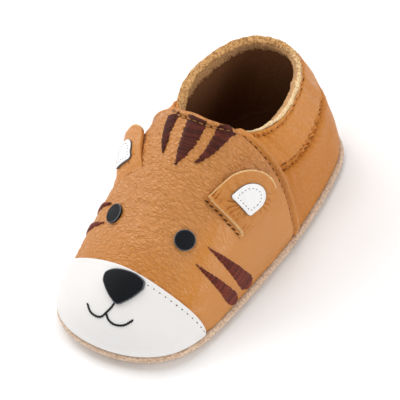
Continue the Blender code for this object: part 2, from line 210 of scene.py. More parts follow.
def upperSlopes(u, v):
    around = upperPoint(u + slopeStep, v) - upperPoint(u - slopeStep, v)
    along = upperPoint(u, v + slopeStep) - upperPoint(u, v - slopeStep)
    return around / (2 * slopeStep), along / (2 * slopeStep)


def spanAround(u, v):  # mm per section
    return np.linalg.norm(upperSlopes(u, v)[0], axis=-1)


def spanUp(u, v):  # mm per unit of height
    return np.linalg.norm(upperSlopes(u, v)[1], axis=-1)


def upperNormal(u, v):
    return unit(np.cross(*upperSlopes(u, v)))


def onUpper(u, v, rise):
    u, v = np.broadcast_arrays(np.asarray(u, float), np.asarray(v, float))
    return upperPoint(u, v) + upperNormal(u, v) * np.asarray(rise, float)[..., None]


def placeOnUpper(origin, forwards, across, ahead):  # points given in mm across and ahead of an origin
    u0, v0 = origin
    normal = upperNormal(u0, v0)
    aheadAxis = unit(forwards - normal * np.dot(forwards, normal))
    acrossAxis = np.cross(aheadAxis, normal)
    centre = upperPoint(u0, v0)
    across, ahead = np.broadcast_arrays(np.asarray(across, float), np.asarray(ahead, float))
    u, v = np.full(across.shape, float(u0)), np.full(across.shape, float(v0))
    for _ in range(solveRounds):
        off = upperPoint(u, v) - centre
        du, dv = upperSlopes(u, v)
        missA, missB = across - off @ acrossAxis, ahead - off @ aheadAxis
        aa, ab, ba, bb = du @ acrossAxis, dv @ acrossAxis, du @ aheadAxis, dv @ aheadAxis
        scale = 1 / (aa * bb - ab * ba)
        u = u + (bb * missA - ab * missB) * scale
        v = v + (aa * missB - ba * missA) * scale
    return u, v


def stepV(u, v, distance):  # v after a walk of so many mm up the section
    middle = v + distance / 2 / spanUp(u, v)
    return v + distance / spanUp(u, middle)


def stepU(u, v, distance):
    middle = u + distance / 2 / spanAround(u, v)
    return u + distance / spanAround(middle, v)


def belowRim(u, distance):  # v at so many mm under the rim or throat
    return stepV(u, np.ones_like(u), -distance)


def ringOf(count):  # sections once round the foot, from the toe
    return np.linspace(0, sectionCount, count + 1)[:-1]


def seamRing(reach, height, u):
    around = upperSlopes(u, 0.0 * u)[0]
    out = unit(np.stack((around[:, 1], -around[:, 0], 0 * u), axis=-1))
    ring = upperPoint(u, 0.0 * u) + out * np.broadcast_to(reach, u.shape)[..., None]
    ring[:, 2] = height + toeLift(ring[:, 1])
    return ring


# line helpers
def runAlong(line):  # mm from the start of a line to each of its points
    return np.concatenate(((0,), np.cumsum(np.linalg.norm(np.diff(line, axis=0), axis=-1))))


def spotsAt(at, run, line):
    return np.stack([np.interp(at, run, line[:, k]) for k in range(line.shape[1])], axis=-1)


def between(p0, p1, p2, p3, f):  # smooth curve from p1 to p2
    return 0.5 * (2 * p1 + (p2 - p0) * f + (2 * p0 - 5 * p1 + 4 * p2 - p3) * f ** 2
                  + (3 * p1 - p0 - 3 * p2 + p3) * f ** 3)


def smoothLoop(corners, count):  # closed smooth curve through a few given points
    knots = np.array(corners, float)
    t = np.arange(count) * len(knots) / count
    k, f = t.astype(int), (t % 1)[:, None]
    return between(*(knots[(k + d) % len(knots)] for d in (-1, 0, 1, 2)), f)


def smoothPath(corners, count):
    knots = np.array(corners, float)
    t = np.linspace(0, len(knots) - 1, count)
    k = np.minimum(t.astype(int), len(knots) - 2)
    wide = np.concatenate((2 * knots[:1] - knots[1:2], knots, 2 * knots[-1:] - knots[-2:-1]))
    return between(*(wide[k + d] for d in range(4)), (t - k)[:, None])


# mesh helpers: every shape here is one or more grids of points in mm
finishes = {}


def gridFaces(rowCount, columnCount, closed=False, start=0):
    r = np.arange(rowCount - 1)[:, None]
    c = np.arange(columnCount if closed else columnCount - 1)[None, :]
    a, b = r * columnCount + c, r * columnCount + (c + 1) % columnCount
    return (np.stack((a, b, b + columnCount, a + columnCount), -1).reshape(-1, 4) + start).tolist()


def joinGrids(grids, closed=False):
    points, faces, start = [], [], 0
    for grid in grids:
        points.append(grid.reshape(-1, 3))
        faces += gridFaces(grid.shape[0], grid.shape[1], closed, start)
        start += grid.shape[0] * grid.shape[1]
    return np.concatenate(points), faces


def addPiece(name, shape, finishNames, nodes=(), marks=None, sharp=None):
    points, faces = shape
    mesh = bpy.data.meshes.new(name)
    mesh.from_pydata((np.asarray(points) * mm).tolist(), [], faces)
    for finish in finishNames:
        mesh.materials.append(finishes[finish])
    if marks is not None:
        mesh.polygons.foreach_set("material_index", marks)
    mesh.shade_smooth()
    if sharp:
        mesh.set_sharp_from_angle(angle=math.radians(sharp))
    mesh.update()
    piece = bpy.data.objects.new(name, mesh)
    bpy.context.scene.collection.objects.link(piece)
    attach(piece, "root")
    for node in nodes:
        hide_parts(node)


# node helpers
def setSocket(tree, socket, value):  # a link from another node, or a number, place or colour
    if isinstance(value, bpy.types.NodeSocket):
        tree.links.new(value, socket)
    elif socket.type == "RGBA":
        socket.default_value = (*value, 1.0)
    else:
        socket.default_value = value


def addNode(tree, kind, values=None, **settings):
    node = tree.nodes.new(kind)
    for key, value in settings.items():
        setattr(node, key, value)
    for key, value in (values or {}).items():
        setSocket(tree, node.inputs[key], value)
    return node


def mathNode(tree, operation, a, b, clamp=False):
    return addNode(tree, "ShaderNodeMath", {0: a, 1: b}, operation=operation, use_clamp=clamp).outputs[0]


def vectorNode(tree, operation, values):
    return addNode(tree, "ShaderNodeVectorMath", values, operation=operation).outputs[0]


def noiseNode(tree, place, scale, detail=2.0, **values):
    values = {"Vector": place, "Scale": scale, "Detail": detail, **values}
    return addNode(tree, "ShaderNodeTexNoise", values).outputs


def weightedSum(tree, *parts):
    terms = [mathNode(tree, "MULTIPLY", value, weight) for value, weight in parts]
    total = terms[0]
    for term in terms[1:]:
        total = mathNode(tree, "ADD", total, term)
    return total


def rangeNode(tree, value, low, high, toLow=0.0, toHigh=1.0):
    values = {"Value": value, "From Min": low, "From Max": high, "To Min": toLow, "To Max": toHigh}
    return addNode(tree, "ShaderNodeMapRange", values, interpolation_type="SMOOTHSTEP").outputs["Result"]


def mixColour(tree, share, a, b):
    return addNode(tree, "ShaderNodeMix", {0: share, 6: a, 7: b}, data_type="RGBA").outputs[2]


# shared finishes as node groups
def newGroup(name, inputs, outputs):  # the socket named Vector is a place, the others are numbers
    group = bpy.data.node_groups.new(name, "ShaderNodeTree")
    for way, names in (("INPUT", inputs), ("OUTPUT", outputs)):
        for socketName in names:
            kind = "NodeSocketVector" if socketName == "Vector" else "NodeSocketFloat"
            group.interface.new_socket(socketName, in_out=way, socket_type=kind)
    return group, group.nodes.new("NodeGroupInput"), group.nodes.new("NodeGroupOutput")


grainSet = {  # tumbled leather: long pebbles between fine creases, pores, slow mottling
    "large": ((0.5, 1.15, 0.6), 1.0, 0.24), "small": ((0.8, 1.1, 0.9), 2.0, 0.3),  # stretch, finer by, reach
    "driftScale": 260.0, "poreScale": 3200.0, "mottleScale": 38.0, "mottleDetail": 4.0,
    "largeShare": 0.66, "smallShare": 0.26, "poreShare": 0.08,
}
napSet = {  # suede, thread and raw cut edges: fine upright fibres, specks, brushed patches
    "fibreDetail": 5.0, "fibreRoughness": 0.7, "clumpScale": 520.0, "slowScale": 70.0, "slowDetail": 3.0,
    "fibreShare": 0.6, "clumpShare": 0.6, "speck": (0.36, 0.64), "brushed": (0.3, 0.7),
}


def makeGrainGroup(s):
    group, enter, leave = newGroup("tumbledGrain", ("Vector", "Pebbles", "Wander", "Depth"),
                                   ("Height", "Groove", "Mottle"))
    place, depth = enter.outputs["Vector"], enter.outputs["Depth"]
    drift = noiseNode(group, place, s["driftScale"])["Color"]
    centred = vectorNode(group, "SUBTRACT", {0: drift, 1: (0.5, 0.5, 0.5)})
    shift = vectorNode(group, "SCALE", {0: centred, "Scale": enter.outputs["Wander"]})
    moved = vectorNode(group, "ADD", {0: place, 1: shift})

    def cells(stretch, finer, reach):
        spread = vectorNode(group, "MULTIPLY", {0: moved, 1: stretch})
        scale = mathNode(group, "MULTIPLY", enter.outputs["Pebbles"], finer)
        node = addNode(group, "ShaderNodeTexVoronoi", {"Vector": spread, "Scale": scale},
                       feature="DISTANCE_TO_EDGE")
        return rangeNode(group, node.outputs["Distance"], 0.0, reach)

    large, small = cells(*s["large"]), cells(*s["small"])
    pores = noiseNode(group, place, s["poreScale"])["Fac"]
    height = weightedSum(group, (large, s["largeShare"]), (small, s["smallShare"]), (pores, s["poreShare"]))
    groove = mathNode(group, "MULTIPLY", mathNode(group, "SUBTRACT", 1.0, large), depth, True)
    mottle = noiseNode(group, place, s["mottleScale"], s["mottleDetail"])["Fac"]
    setSocket(group, leave.inputs["Height"], mathNode(group, "MULTIPLY", height, depth))
    setSocket(group, leave.inputs["Groove"], groove)
    setSocket(group, leave.inputs["Mottle"], mottle)
    return group


def makeNapGroup(s):
    group, enter, leave = newGroup("suedeNap", ("Vector", "Fibre"), ("Height", "Speck", "Brushed"))
    place = enter.outputs["Vector"]
    fibre = noiseNode(group, place, enter.outputs["Fibre"], s["fibreDetail"],
                      Roughness=s["fibreRoughness"])["Fac"]
    clump = noiseNode(group, place, s["clumpScale"], s["slowDetail"])["Fac"]
    slow = noiseNode(group, place, s["slowScale"], s["slowDetail"])["Fac"]
    height = weightedSum(group, (fibre, s["fibreShare"]), (clump, s["clumpShare"]))
    setSocket(group, leave.inputs["Height"], height)
    setSocket(group, leave.inputs["Speck"], rangeNode(group, fibre, *s["speck"]))
    setSocket(group, leave.inputs["Brushed"], rangeNode(group, slow, *s["brushed"]))
    return group


grainGroup = makeGrainGroup(grainSet)
napGroup = makeNapGroup(napSet)


def newMaterial(name, constants):
    material = bpy.data.materials.new(name)
    material.use_nodes = True
    tree = material.node_tree
    shader = tree.nodes["Principled BSDF"]
    for key, value in constants.items():
        shader.inputs[key].default_value = value
    finishes[name] = material
    return tree, shader, addNode(tree, "ShaderNodeTexCoord").outputs["Object"]


def addBump(tree, shader, height, distance):
    node = addNode(tree, "ShaderNodeBump", {"Height": height, "Distance": distance * mm, "Strength": 1.0})
    setSocket(tree, shader.inputs["Normal"], node.outputs["Normal"])


leatherShared = {"mottle": (0.3, 0.7), "grooveReach": 0.8, "crownGloss": -0.06, "grooveGloss": 0.18}
vampRegions = {  # mm: calmer grain on the outer cheek; a deeper colour there and above the toe cap is painted shade, where the leather shows less sheen
    "cheek": (12.0, 22.0), "low": (28.0, 38.0), "front": (-42.0, -28.0),
    "calmShare": 0.2, "colour": (0.575, 0.212, 0.024),
}


def leather(name, s, regions=None):
    tree, shader, place = newMaterial(name, {"Roughness": s["roughness"],
                                             "Specular IOR Level": s["specular"]})
    depth = s["depth"]
    if regions:
        axes = addNode(tree, "ShaderNodeSeparateXYZ", {0: place}).outputs
        lateral = rangeNode(tree, axes["X"], *(x * mm for x in regions["cheek"]))
        low = rangeNode(tree, axes["Z"], *(z * mm for z in regions["low"]), 1.0, 0.0)
        front = rangeNode(tree, axes["Y"], *(y * mm for y in regions["front"]), 1.0, 0.0)
        cheek = mathNode(tree, "MULTIPLY", lateral, low)
        # where the deeper colour goes: painted shade for less sheen
        shadedRegion = mathNode(tree, "MAXIMUM", cheek, mathNode(tree, "MULTIPLY", front, low))
        calm = mathNode(tree, "MULTIPLY", cheek, 1.0 - regions["calmShare"])
        depth = mathNode(tree, "MULTIPLY", mathNode(tree, "SUBTRACT", 1.0, calm), depth)
    values = {"Vector": place, "Pebbles": s["pebbles"], "Wander": s["wander"], "Depth": depth}
    grain = addNode(tree, "ShaderNodeGroup", values, node_tree=grainGroup).outputs
    mottle = rangeNode(tree, grain["Mottle"], *leatherShared["mottle"])
    tone = mixColour(tree, mottle, s["colour"], s["second"])
    if regions:
        tone = mixColour(tree, shadedRegion, tone, regions["colour"])
    # the grain's creases get the darker groove colour: painted shade in the creases
    inGroove = mathNode(tree, "MULTIPLY", grain["Groove"], s["grooveShare"], True)
    setSocket(tree, shader.inputs["Base Color"], mixColour(tree, inGroove, tone, s["groove"]))
    crown, hollow = (s["roughness"] + leatherShared[key] for key in ("crownGloss", "grooveGloss"))
    gloss = rangeNode(tree, grain["Groove"], 0.0, leatherShared["grooveReach"], crown, hollow)
    setSocket(tree, shader.inputs["Roughness"], gloss)
    addBump(tree, shader, grain["Height"], s["bump"])


suedeShared = {"sheenRoughness": 0.6, "specular": 0.12}


def suede(name, s, specular=suedeShared["specular"]):
    tree, shader, place = newMaterial(name, {
        "Roughness": s["roughness"], "Specular IOR Level": specular,
        "Sheen Weight": s["sheen"], "Sheen Roughness": suedeShared["sheenRoughness"]})
    values = {"Vector": place, "Fibre": s["fibre"]}
    nap = addNode(tree, "ShaderNodeGroup", values, node_tree=napGroup).outputs
    tone = mixColour(tree, nap["Speck"], s["dark"], s["light"])
    brushed = mathNode(tree, "MULTIPLY", nap["Brushed"], s["brushedShare"])
    setSocket(tree, shader.inputs["Base Color"], mixColour(tree, brushed, tone, s["brushed"]))
    addBump(tree, shader, nap["Height"], s["bump"])


leatherColumns = ("colour", "second", "groove",
                  "grooveShare", "pebbles", "wander", "depth", "bump", "roughness", "specular")
leathers = {
    "caramelLeather": ((0.585, 0.232, 0.048), (0.625, 0.256, 0.058), (0.44, 0.15, 0.028),
                       0.30, 820, 0.0006, 1.0, 0.24, 0.40, 0.75),
    "caramelEar": ((0.57, 0.222, 0.044), (0.61, 0.246, 0.053), (0.42, 0.14, 0.026),
                   0.30, 880, 0.0012, 0.5, 0.24, 0.45, 0.45),
    "caramelQuarter": ((0.55, 0.192, 0.022), (0.59, 0.212, 0.028), (0.38, 0.12, 0.016),
                       0.30, 760, 0.0008, 0.5, 0.22, 0.50, 0.28),
    # lighter copy of the quarter's leather for the casing above the seam: painted sheen
    "caramelCasingLit": ((0.62, 0.228, 0.031), (0.66, 0.250, 0.038), (0.40, 0.13, 0.018),
                      0.30, 760, 0.0008, 0.6, 0.24, 0.42, 0.36),
    "whiteLeather": ((0.815, 0.79, 0.77), (0.84, 0.82, 0.805), (0.67, 0.64, 0.615),
                     0.15, 900, 0.0006, 0.25, 0.05, 0.42, 0.45),
    "earLiningLeather": ((0.89, 0.872, 0.86), (0.91, 0.896, 0.886), (0.74, 0.715, 0.69),
                         0.15, 900, 0.0006, 0.25, 0.05, 0.42, 0.45),
    "blackLeather": ((0.006, 0.0075, 0.009), (0.009, 0.0105, 0.013), (0.002, 0.002, 0.003),
                     0.40, 1100, 0.0005, 0.4, 0.08, 0.52, 0.16),
    "beadLeather": ((0.52, 0.34, 0.225), (0.57, 0.38, 0.26), (0.40, 0.25, 0.16),
                    0.30, 1400, 0.0005, 0.4, 0.05, 0.60, 0.45),
}
suedeColumns = ("dark", "light", "brushed", "brushedShare", "fibre", "bump", "roughness", "sheen")
suedes = {
    "creamCutEdge": ((0.58, 0.31, 0.115), (0.86, 0.57, 0.28), (0.75, 0.46, 0.20),
        0.4, 2600, 0.12, 0.90, 0.2),
    # grey cut edge of the black patches; on the white ear lining's edge it is painted shade
    "greyCutEdgeAndShade": ((0.05, 0.055, 0.065), (0.17, 0.18, 0.20), (0.10, 0.105, 0.12),
        0.4, 2600, 0.08, 0.85, 0.1),
    "whiteCutEdge": ((0.60, 0.52, 0.44), (0.82, 0.77, 0.70), (0.74, 0.68, 0.60),
        0.4, 2600, 0.08, 0.90, 0.1),
    "collarFlesh": ((0.27, 0.112, 0.032), (0.73, 0.42, 0.165), (0.54, 0.29, 0.105),
        0.3, 1150, 0.42, 0.95, 0.1),
    "collarCutEdge": ((0.60, 0.37, 0.17), (0.94, 0.75, 0.46), (0.82, 0.59, 0.33),
        0.4, 1300, 0.25, 0.95, 0.1),
    # the inner fold: a lighter copy of the flesh suede, painted light where the fold lies inside the collar
    "collarFoldLit": ((0.46, 0.215, 0.075), (0.78, 0.45, 0.195), (0.62, 0.335, 0.14),
        0.45, 1700, 0.25, 0.95, 0.1),
    "soleSuede": ((0.46, 0.285, 0.178), (0.87, 0.65, 0.475), (0.71, 0.50, 0.35),
        0.35, 1150, 0.40, 0.95, 0.3),
    "darkLining": ((0.15, 0.06, 0.025), (0.31, 0.135, 0.057), (0.23, 0.097, 0.041),
        0.5, 2400, 0.10, 0.95, 0.0),
    "treadRubber": ((0.29, 0.165, 0.098), (0.35, 0.205, 0.125), (0.32, 0.185, 0.11),
        0.5, 3000, 0.05, 0.60, 0.0),
    "tanThread": ((0.42, 0.17, 0.05), (0.62, 0.30, 0.10), (0.52, 0.23, 0.07),
        0.4, 2400, 0.04, 0.60, 0.1),
    "whiteThread": ((0.66, 0.64, 0.62), (0.82, 0.80, 0.78), (0.75, 0.73, 0.71),
        0.4, 2400, 0.04, 0.60, 0.1),
    "greyThread": ((0.10, 0.10, 0.105), (0.26, 0.26, 0.265), (0.18, 0.18, 0.185),
        0.4, 2400, 0.04, 0.60, 0.1),
    "blackThread": ((0.004, 0.004, 0.005), (0.016, 0.016, 0.018), (0.009, 0.009, 0.01),
        0.4, 2400, 0.05, 0.55, 0.1),
    # dark capsules in the seam and gather rows' needle holes: painted shade
    "brownHoleShade": ((0.06, 0.02, 0.006), (0.15, 0.055, 0.016), (0.10, 0.036, 0.011),
        0.4, 2400, 0.04, 0.70, 0.0),
    # dark capsules in the toe cap's needle holes and the ears' dark stitch dashes: painted shade
    "darkStitchShade": ((0.035, 0.01, 0.004), (0.075, 0.024, 0.008), (0.05, 0.016, 0.006),
        0.4, 2400, 0.04, 0.90, 0.0),
}
satins = {  # dark and light of each embroidery thread
    "satinBrow": ((0.050, 0.0095, 0.005), (0.130, 0.024, 0.0125)),
    "satinCheek": ((0.088, 0.0155, 0.008), (0.225, 0.039, 0.020)),
}
satinShades = {"Deep": 0.76, "Bright": 1.24}    # two strengths, so that single threads tell apart
satinRow, satinSpecular = (0.4, 2100, 0.06, 0.55, 0.05), 0.2


def makeFinishes():
    for name, row in leathers.items():
        leather(name, dict(zip(leatherColumns, row)), vampRegions if name == "caramelLeather" else None)
    for name, row in suedes.items():
        suede(name, dict(zip(suedeColumns, row)))
    for name, tones in satins.items():
        for label, share in satinShades.items():
            dark, light = (tuple(c * share for c in tone) for tone in tones)
            middle = tuple((a + b) / 2 for a, b in zip(dark, light))
            suede(name + label, dict(zip(suedeColumns, (dark, light, middle, *satinRow))), satinSpecular)


makeFinishes()
print("finishes made")

# vamp: the tan leather over toes and instep, with a turned hem at its back edge and throat
vampSet = {
    "columns": 400, "rows": 225, "edgeCrowd": 0.6,
    "edgeRise": 1.3, "fade": 0.45,          # the turned edge stands off the quarter and runs out forwards
    "lean": 0.09, "leanEnds": (0.5, 0.95),  # and leans to the heel lower down
    "hemWidth": 2.4, "hemPuff": 0.85, "flatPuff": 0.4, "nose": 0.8, "noseDrop": 0.35,
    "innerFlat": 0.8, "innerFlatFrom": (0.62, 0.85),    # on the inner side the edge lies flat near the throat
    "soleFlat": 0.8, "soleFlatUpTo": 0.09,              # and everywhere at the sole
    "stitchInset": 2.6, "throatInset": 2.4, "stitchDent": 0.75, "stitchWidth": 0.45,
    "creased": (1.5, 5.0), "lump": 0.16, "lumpWaves": ((7.0, 3), (9.0, 5)),
    "lip": 0.9, "lipRows": 9,
    "pebble": (5.2, 1.35, 4.2),             # mm across, along and up: long across the foot
    "warp": 0.5, "warpPitch": 5.0, "warpMix": 0.7,
    "grain": 0.46, "toeGrain": 0.28, "toeUpTo": (0.42, 0.62),
    "cheekGrain": 0.04, "cheekFrom": (0.75, 1.25), "cheekUpTo": (0.5, 0.66),
    "hemGrain": 0.05, "grained": (2.8, 5.0),
}
# flexing creases across the instep: height, from section, to section, width mm, depth mm
creaseColumns = ("height", "start", "end", "width", "depth")
vampCreases = {
    "browLow": (0.775, -0.75, 0.55, 1.1, 0.22),
    "browMiddle": (0.735, -1.15, 0.10, 1.2, 0.25),
    "forehead1": (0.695, -0.95, 0.75, 1.0, 0.20),
    "forehead2": (0.655, -1.10, 0.35, 1.1, 0.26),
    "forehead3": (0.615, -0.70, 0.60, 0.9, 0.18),
    "betweenEyes1": (0.575, -0.60, 0.45, 1.0, 0.20),
    "betweenEyes2": (0.535, -0.85, 0.30, 0.9, 0.17),
    "bridge1": (0.500, -0.55, 0.40, 0.9, 0.16),
    "bridge2": (0.470, -0.75, 0.65, 0.8, 0.13),
    "innerCheek": (0.430, -1.35, -0.60, 1.2, 0.18),
}
creaseShared = {"bend": 0.010, "bendPitch": 0.9, "ripple": 0.004, "ripplePitch": 0.23,
                "bank": (0.45, 1.7, 1.2)}


def creaseDepth(u, v, creases):
    total = np.zeros(np.shape(u))
    scale = spanUp(u, v)
    for seed, row in enumerate(creases.values()):
        c = dict(zip(creaseColumns, row))
        middle, half = (c["start"] + c["end"]) / 2, (c["end"] - c["start"]) / 2
        line = c["height"] + creaseShared["bend"] * waver(u, creaseShared["bendPitch"], seed)
        line = line + creaseShared["ripple"] * waver(u, creaseShared["ripplePitch"], seed + 50)
        fade = np.clip(1 - ((u - middle) / half) ** 2, 0, 1)
        total += c["depth"] * fade * trough((v - line) * scale, c["width"], *creaseShared["bank"])
    return total


def vampEdgeAt(v):  # section of the vamp's back edge
    return last["vampEdge"] + vampSet["lean"] * (1 - smoothStep(*vampSet["leanEnds"], v))


def fromEdge(u, v):  # mm from the vamp's back edge
    return (vampEdgeAt(v) - np.abs(u)) * spanAround(u, v)


def vampRise(u, v, s):
    side = fromEdge(u, v)
    throat = (1 - v) * spanUp(u, v) * s["stitchInset"] / s["throatInset"]
    edge = (np.maximum(side, nearZero) ** -4 + np.maximum(throat, nearZero) ** -4) ** -0.25
    standing = 1 - s["innerFlat"] * smoothStep(*s["innerFlatFrom"], v) * (u < 0)
    standing = standing * (1 - s["soleFlat"] * (1 - smoothStep(0.0, s["soleFlatUpTo"], v)))
    rise = s["edgeRise"] * standing * np.clip(1 - (vampEdgeAt(v) - np.abs(u)) / s["fade"], 0, 1)
    puff = s["hemPuff"] * (s["flatPuff"] + (1 - s["flatPuff"]) * standing)
    rise += puff * np.sin(math.pi * np.clip(edge / s["hemWidth"], 0, 1))
    rise -= s["stitchDent"] * bump(edge - s["stitchInset"], s["stitchWidth"])
    rise -= (s["edgeRise"] * standing + s["noseDrop"]) * quarterRound(np.clip(side / s["nose"], 0, 1))
    lumps = s["lump"] * swells(u * 9 + v * 13, v * 40 - u * 3, s["lumpWaves"])
    return rise + smoothStep(*s["creased"], edge) * (creaseDepth(u, v, vampCreases) + lumps)


def vampGrain(u, v, s):  # tumbled pebbles, nearly none on the outer cheek
    points = upperPoint(u, v)
    warps = [waver(points[..., k - 1] + s["warpMix"] * points[..., k], s["warpPitch"], 110 + k)
             for k in range(3)]
    relief = pebbleRelief(points + s["warp"] * np.stack(warps, -1), s["pebble"])
    depth = s["toeGrain"] + (s["grain"] - s["toeGrain"]) * smoothStep(*s["toeUpTo"], v)
    cheek = smoothStep(*s["cheekFrom"], u) * (1 - smoothStep(*s["cheekUpTo"], v))
    depth = depth + (s["cheekGrain"] - depth) * cheek
    hem = 1 - smoothStep(*s["grained"], fromEdge(u, v))
    return depth * (1 - (1 - s["hemGrain"]) * hem) * (relief - 1)


def throatLip(u, vTop, outerRise, s):  # rows that roll over the edge to the inside
    start, normal = upperPoint(u, vTop), upperNormal(u, vTop)
    along = unit(upperSlopes(u, vTop)[1])
    middle, radius = (outerRise - last["wall"]) / 2, (outerRise + last["wall"]) / 2
    turns = np.linspace(0, math.pi, s["lipRows"] + 1)[1:]
    return np.array([start + normal * (middle + radius * math.cos(t))[:, None]
                     + along * s["lip"] * math.sin(t) for t in turns])


def makeVamp(s):
    spread = np.linspace(-1, 1, s["columns"])
    spread = (1 - s["edgeCrowd"]) * spread + s["edgeCrowd"] * np.sin(spread * math.pi / 2)
    u = last["vampEdge"] * spread
    vTop = belowRim(u, s["lip"])
    v = np.linspace(0, 1, s["rows"])[:, None] * vTop
    uGrid = vampEdgeAt(v) * spread
    rise = vampRise(uGrid, v, s) + vampGrain(uGrid, v, s)
    grid = np.concatenate((onUpper(uGrid, v, rise), throatLip(u, vTop, rise[-1], s)))
    hem = np.zeros((len(grid) - 1, len(u) - 1), int)
    hem[:s["rows"]] = fromEdge(uGrid, v)[:, :-1] < s["hemWidth"]     # the turned hem is stretched smooth
    addPiece("vampLeather", joinGrids([grid]), ["caramelLeather", "caramelEar"], ["upper"],
             hem.ravel().tolist())


makeVamp(vampSet)
print("vamp made")

# quarter: one leather round the heel, gathered on two rows of stitches, with the elastic casing above them
quarterSet = {
    "columns": 500, "rows": 180, "under": 0.07, "underDrop": 0.5, "shown": (-1.4, 0.2),
    "seamHalf": 1.15,                   # the two rows stand this far either side of the seam line
    "rowDent": 0.8, "rowWidth": 0.5, "waist": 0.4, "waistReach": 2.4,
    "puffBelow": 0.45, "puffAt": -4.2, "puffReach": 2.6, "casingRise": 0.5, "casingRun": 2.0,
    "pucker": 0.70, "puckerPitch": 3.3, "puckerReach": 2.9,
    "crinkle": 0.48, "crinklePitch": 1.9, "crinkleAt": -0.8, "crinkleReach": 2.0,
    "fold": 0.36, "foldPitch": 8.0, "foldFrom": (1.5, 4.0), "foldUpTo": (1.2, 4.0),
    "lump": 0.14, "lumpFrom": (2.0, 6.0), "lumpAbove": (2.0, 14.0),
    "lumpWaves": ((19.0, 12), (11.0, 13)),
    "rimRow": 3.2, "rimDent": 0.75, "rimPucker": 0.34, "rimReach": 1.5, "rimPitch": 1.13, "rimSpan": 0.9,
    "vampGroove": 0.9, "grooveAt": 0.3, "grooveWidth": 0.8,     # dark crevice along the vamp's edge
    "lip": 0.9,
    # stray of the waves in radians, its pitch mm, seed, and their strength: level, spread, pitch mm, seed
    "puckerStray": (2.2, 17.0, 8), "puckerEase": (0.7, 0.4, 23.0, 9),
    "crinkleStray": (3.0, 11.0, 14), "crinkleEase": (0.5, 0.6, 7.0, 15), "crinkleSlant": 0.5,
    "foldStray": (2.6, 31.0, 10), "foldEase": (0.75, 0.35, 41.0, 11), "foldSlant": 0.12,
}
# soft folds that fan out under the seam: section and height of the upper and lower end, width, depth mm
quarterFolds = {
    "vampCornerOuter": (3.22, 0.54, 3.12, 0.30, 1.3, 0.35),
    "besideCornerOuter": (3.42, 0.55, 3.34, 0.36, 1.2, 0.28),
    "sideOuter": (3.78, 0.55, 3.80, 0.40, 1.6, 0.22),
    "heelOuter": (4.75, 0.55, 4.90, 0.34, 1.8, 0.24),
    "heelMiddle": (6.10, 0.55, 6.00, 0.36, 1.9, 0.22),
    "heelInner": (7.30, 0.55, 7.20, 0.34, 1.8, 0.24),
    "sideInner": (8.20, 0.55, 8.22, 0.38, 1.6, 0.22),
    "besideCornerInner": (8.58, 0.55, 8.66, 0.34, 1.2, 0.28),
    "vampCornerInner": (8.80, 0.54, 8.88, 0.30, 1.3, 0.35),
}
foldShared = {"runOut": 0.7, "bank": (0.5, 2.0, 1.0)}


def foldDepth(points, folds):
    total = np.zeros(points.shape[:-1])
    for u0, v0, u1, v1, width, depth in folds.values():
        a, b = upperPoint(u0, v0), upperPoint(u1, v1)
        axis = b - a
        t = np.clip((points - a) @ axis / (axis @ axis), 0, 1)
        off = np.linalg.norm(points - a - t[..., None] * axis, axis=-1)
        total += depth * (1 - foldShared["runOut"] * t) * trough(off, width, *foldShared["bank"])
    return total


def quarterRise(u, v, s):
    scale = spanUp(u, v)
    fromSeam = (v - last["collarSeam"]) * scale
    fromRim = (1 - v) * spanUp(u, 0 * v + s["rimSpan"])
    fromVamp = np.minimum(u - vampEdgeAt(v), sectionCount - vampEdgeAt(v) - u) * spanAround(u, v)
    girth = np.broadcast_to(u, v.shape) * girthPerSection

    def phase(pitch, stray, strayPitch, seed):
        return 2 * math.pi * girth / pitch + stray * waver(girth, strayPitch, seed)

    def easing(level, spread, pitch, seed):
        return level + spread * waver(girth, pitch, seed)

    rise = s["casingRise"] * smoothStep(-s["seamHalf"], s["seamHalf"] + s["casingRun"], fromSeam)
    rise += s["puffBelow"] * bump(fromSeam - s["puffAt"], s["puffReach"])
    rise -= s["waist"] * bump(fromSeam, s["waistReach"])
    for row in (-s["seamHalf"], s["seamHalf"]):
        rise -= s["rowDent"] * bump(fromSeam - row, s["rowWidth"])
    gathers = phase(s["puckerPitch"], *s["puckerStray"])
    rise += s["pucker"] * easing(*s["puckerEase"]) * np.cos(gathers) * bump(fromSeam, s["puckerReach"])
    crinkles = np.cos(phase(s["crinklePitch"], *s["crinkleStray"]) + s["crinkleSlant"] * fromSeam)
    crinkles = s["crinkle"] * easing(*s["crinkleEase"]) * crinkles
    rise += crinkles * bump(fromSeam - s["crinkleAt"], s["crinkleReach"])
    rise -= s["vampGroove"] * bump(fromVamp - s["grooveAt"], s["grooveWidth"])
    casing = smoothStep(*s["foldFrom"], fromSeam) * smoothStep(*s["foldUpTo"], fromRim)
    folds = np.cos(phase(s["foldPitch"], *s["foldStray"]) + s["foldSlant"] * fromSeam)
    rise += s["fold"] * casing * folds * easing(*s["foldEase"])
    below = smoothStep(*s["lumpFrom"], -fromSeam) * smoothStep(*s["lumpAbove"], v * scale)
    rise += s["lump"] * below * swells(girth + 3 * v, v * 30, s["lumpWaves"])
    rise -= s["rimDent"] * bump(fromRim - s["rimRow"], s["rowWidth"])
    rise += s["rimPucker"] * np.cos(gathers * s["rimPitch"]) * bump(fromRim - s["rimRow"], s["rimReach"])
    shown = smoothStep(*s["shown"], fromVamp)               # lies flat under the vamp
    return shown * (rise + foldDepth(upperPoint(u, v), quarterFolds)) - s["underDrop"] * (1 - shown)


def behindVamp(under, count):  # sections round the heel, from under the vamp's edge to the other side
    start = last["vampEdge"] - under
    return np.linspace(start, sectionCount - start, count)


def makeQuarter(s):
    u = behindVamp(s["under"], s["columns"])
    v = np.linspace(0, 1, s["rows"])[:, None] * belowRim(u, s["lip"])
    uGrid = np.broadcast_to(u, v.shape)
    casing = (v[:-1, :-1] > last["collarSeam"]).astype(int)
    addPiece("quarterLeather", joinGrids([onUpper(uGrid, v, quarterRise(uGrid, v, s))]),
             ["caramelQuarter", "caramelCasingLit"], ["upper"], casing.ravel().tolist())


makeQuarter(quarterSet)

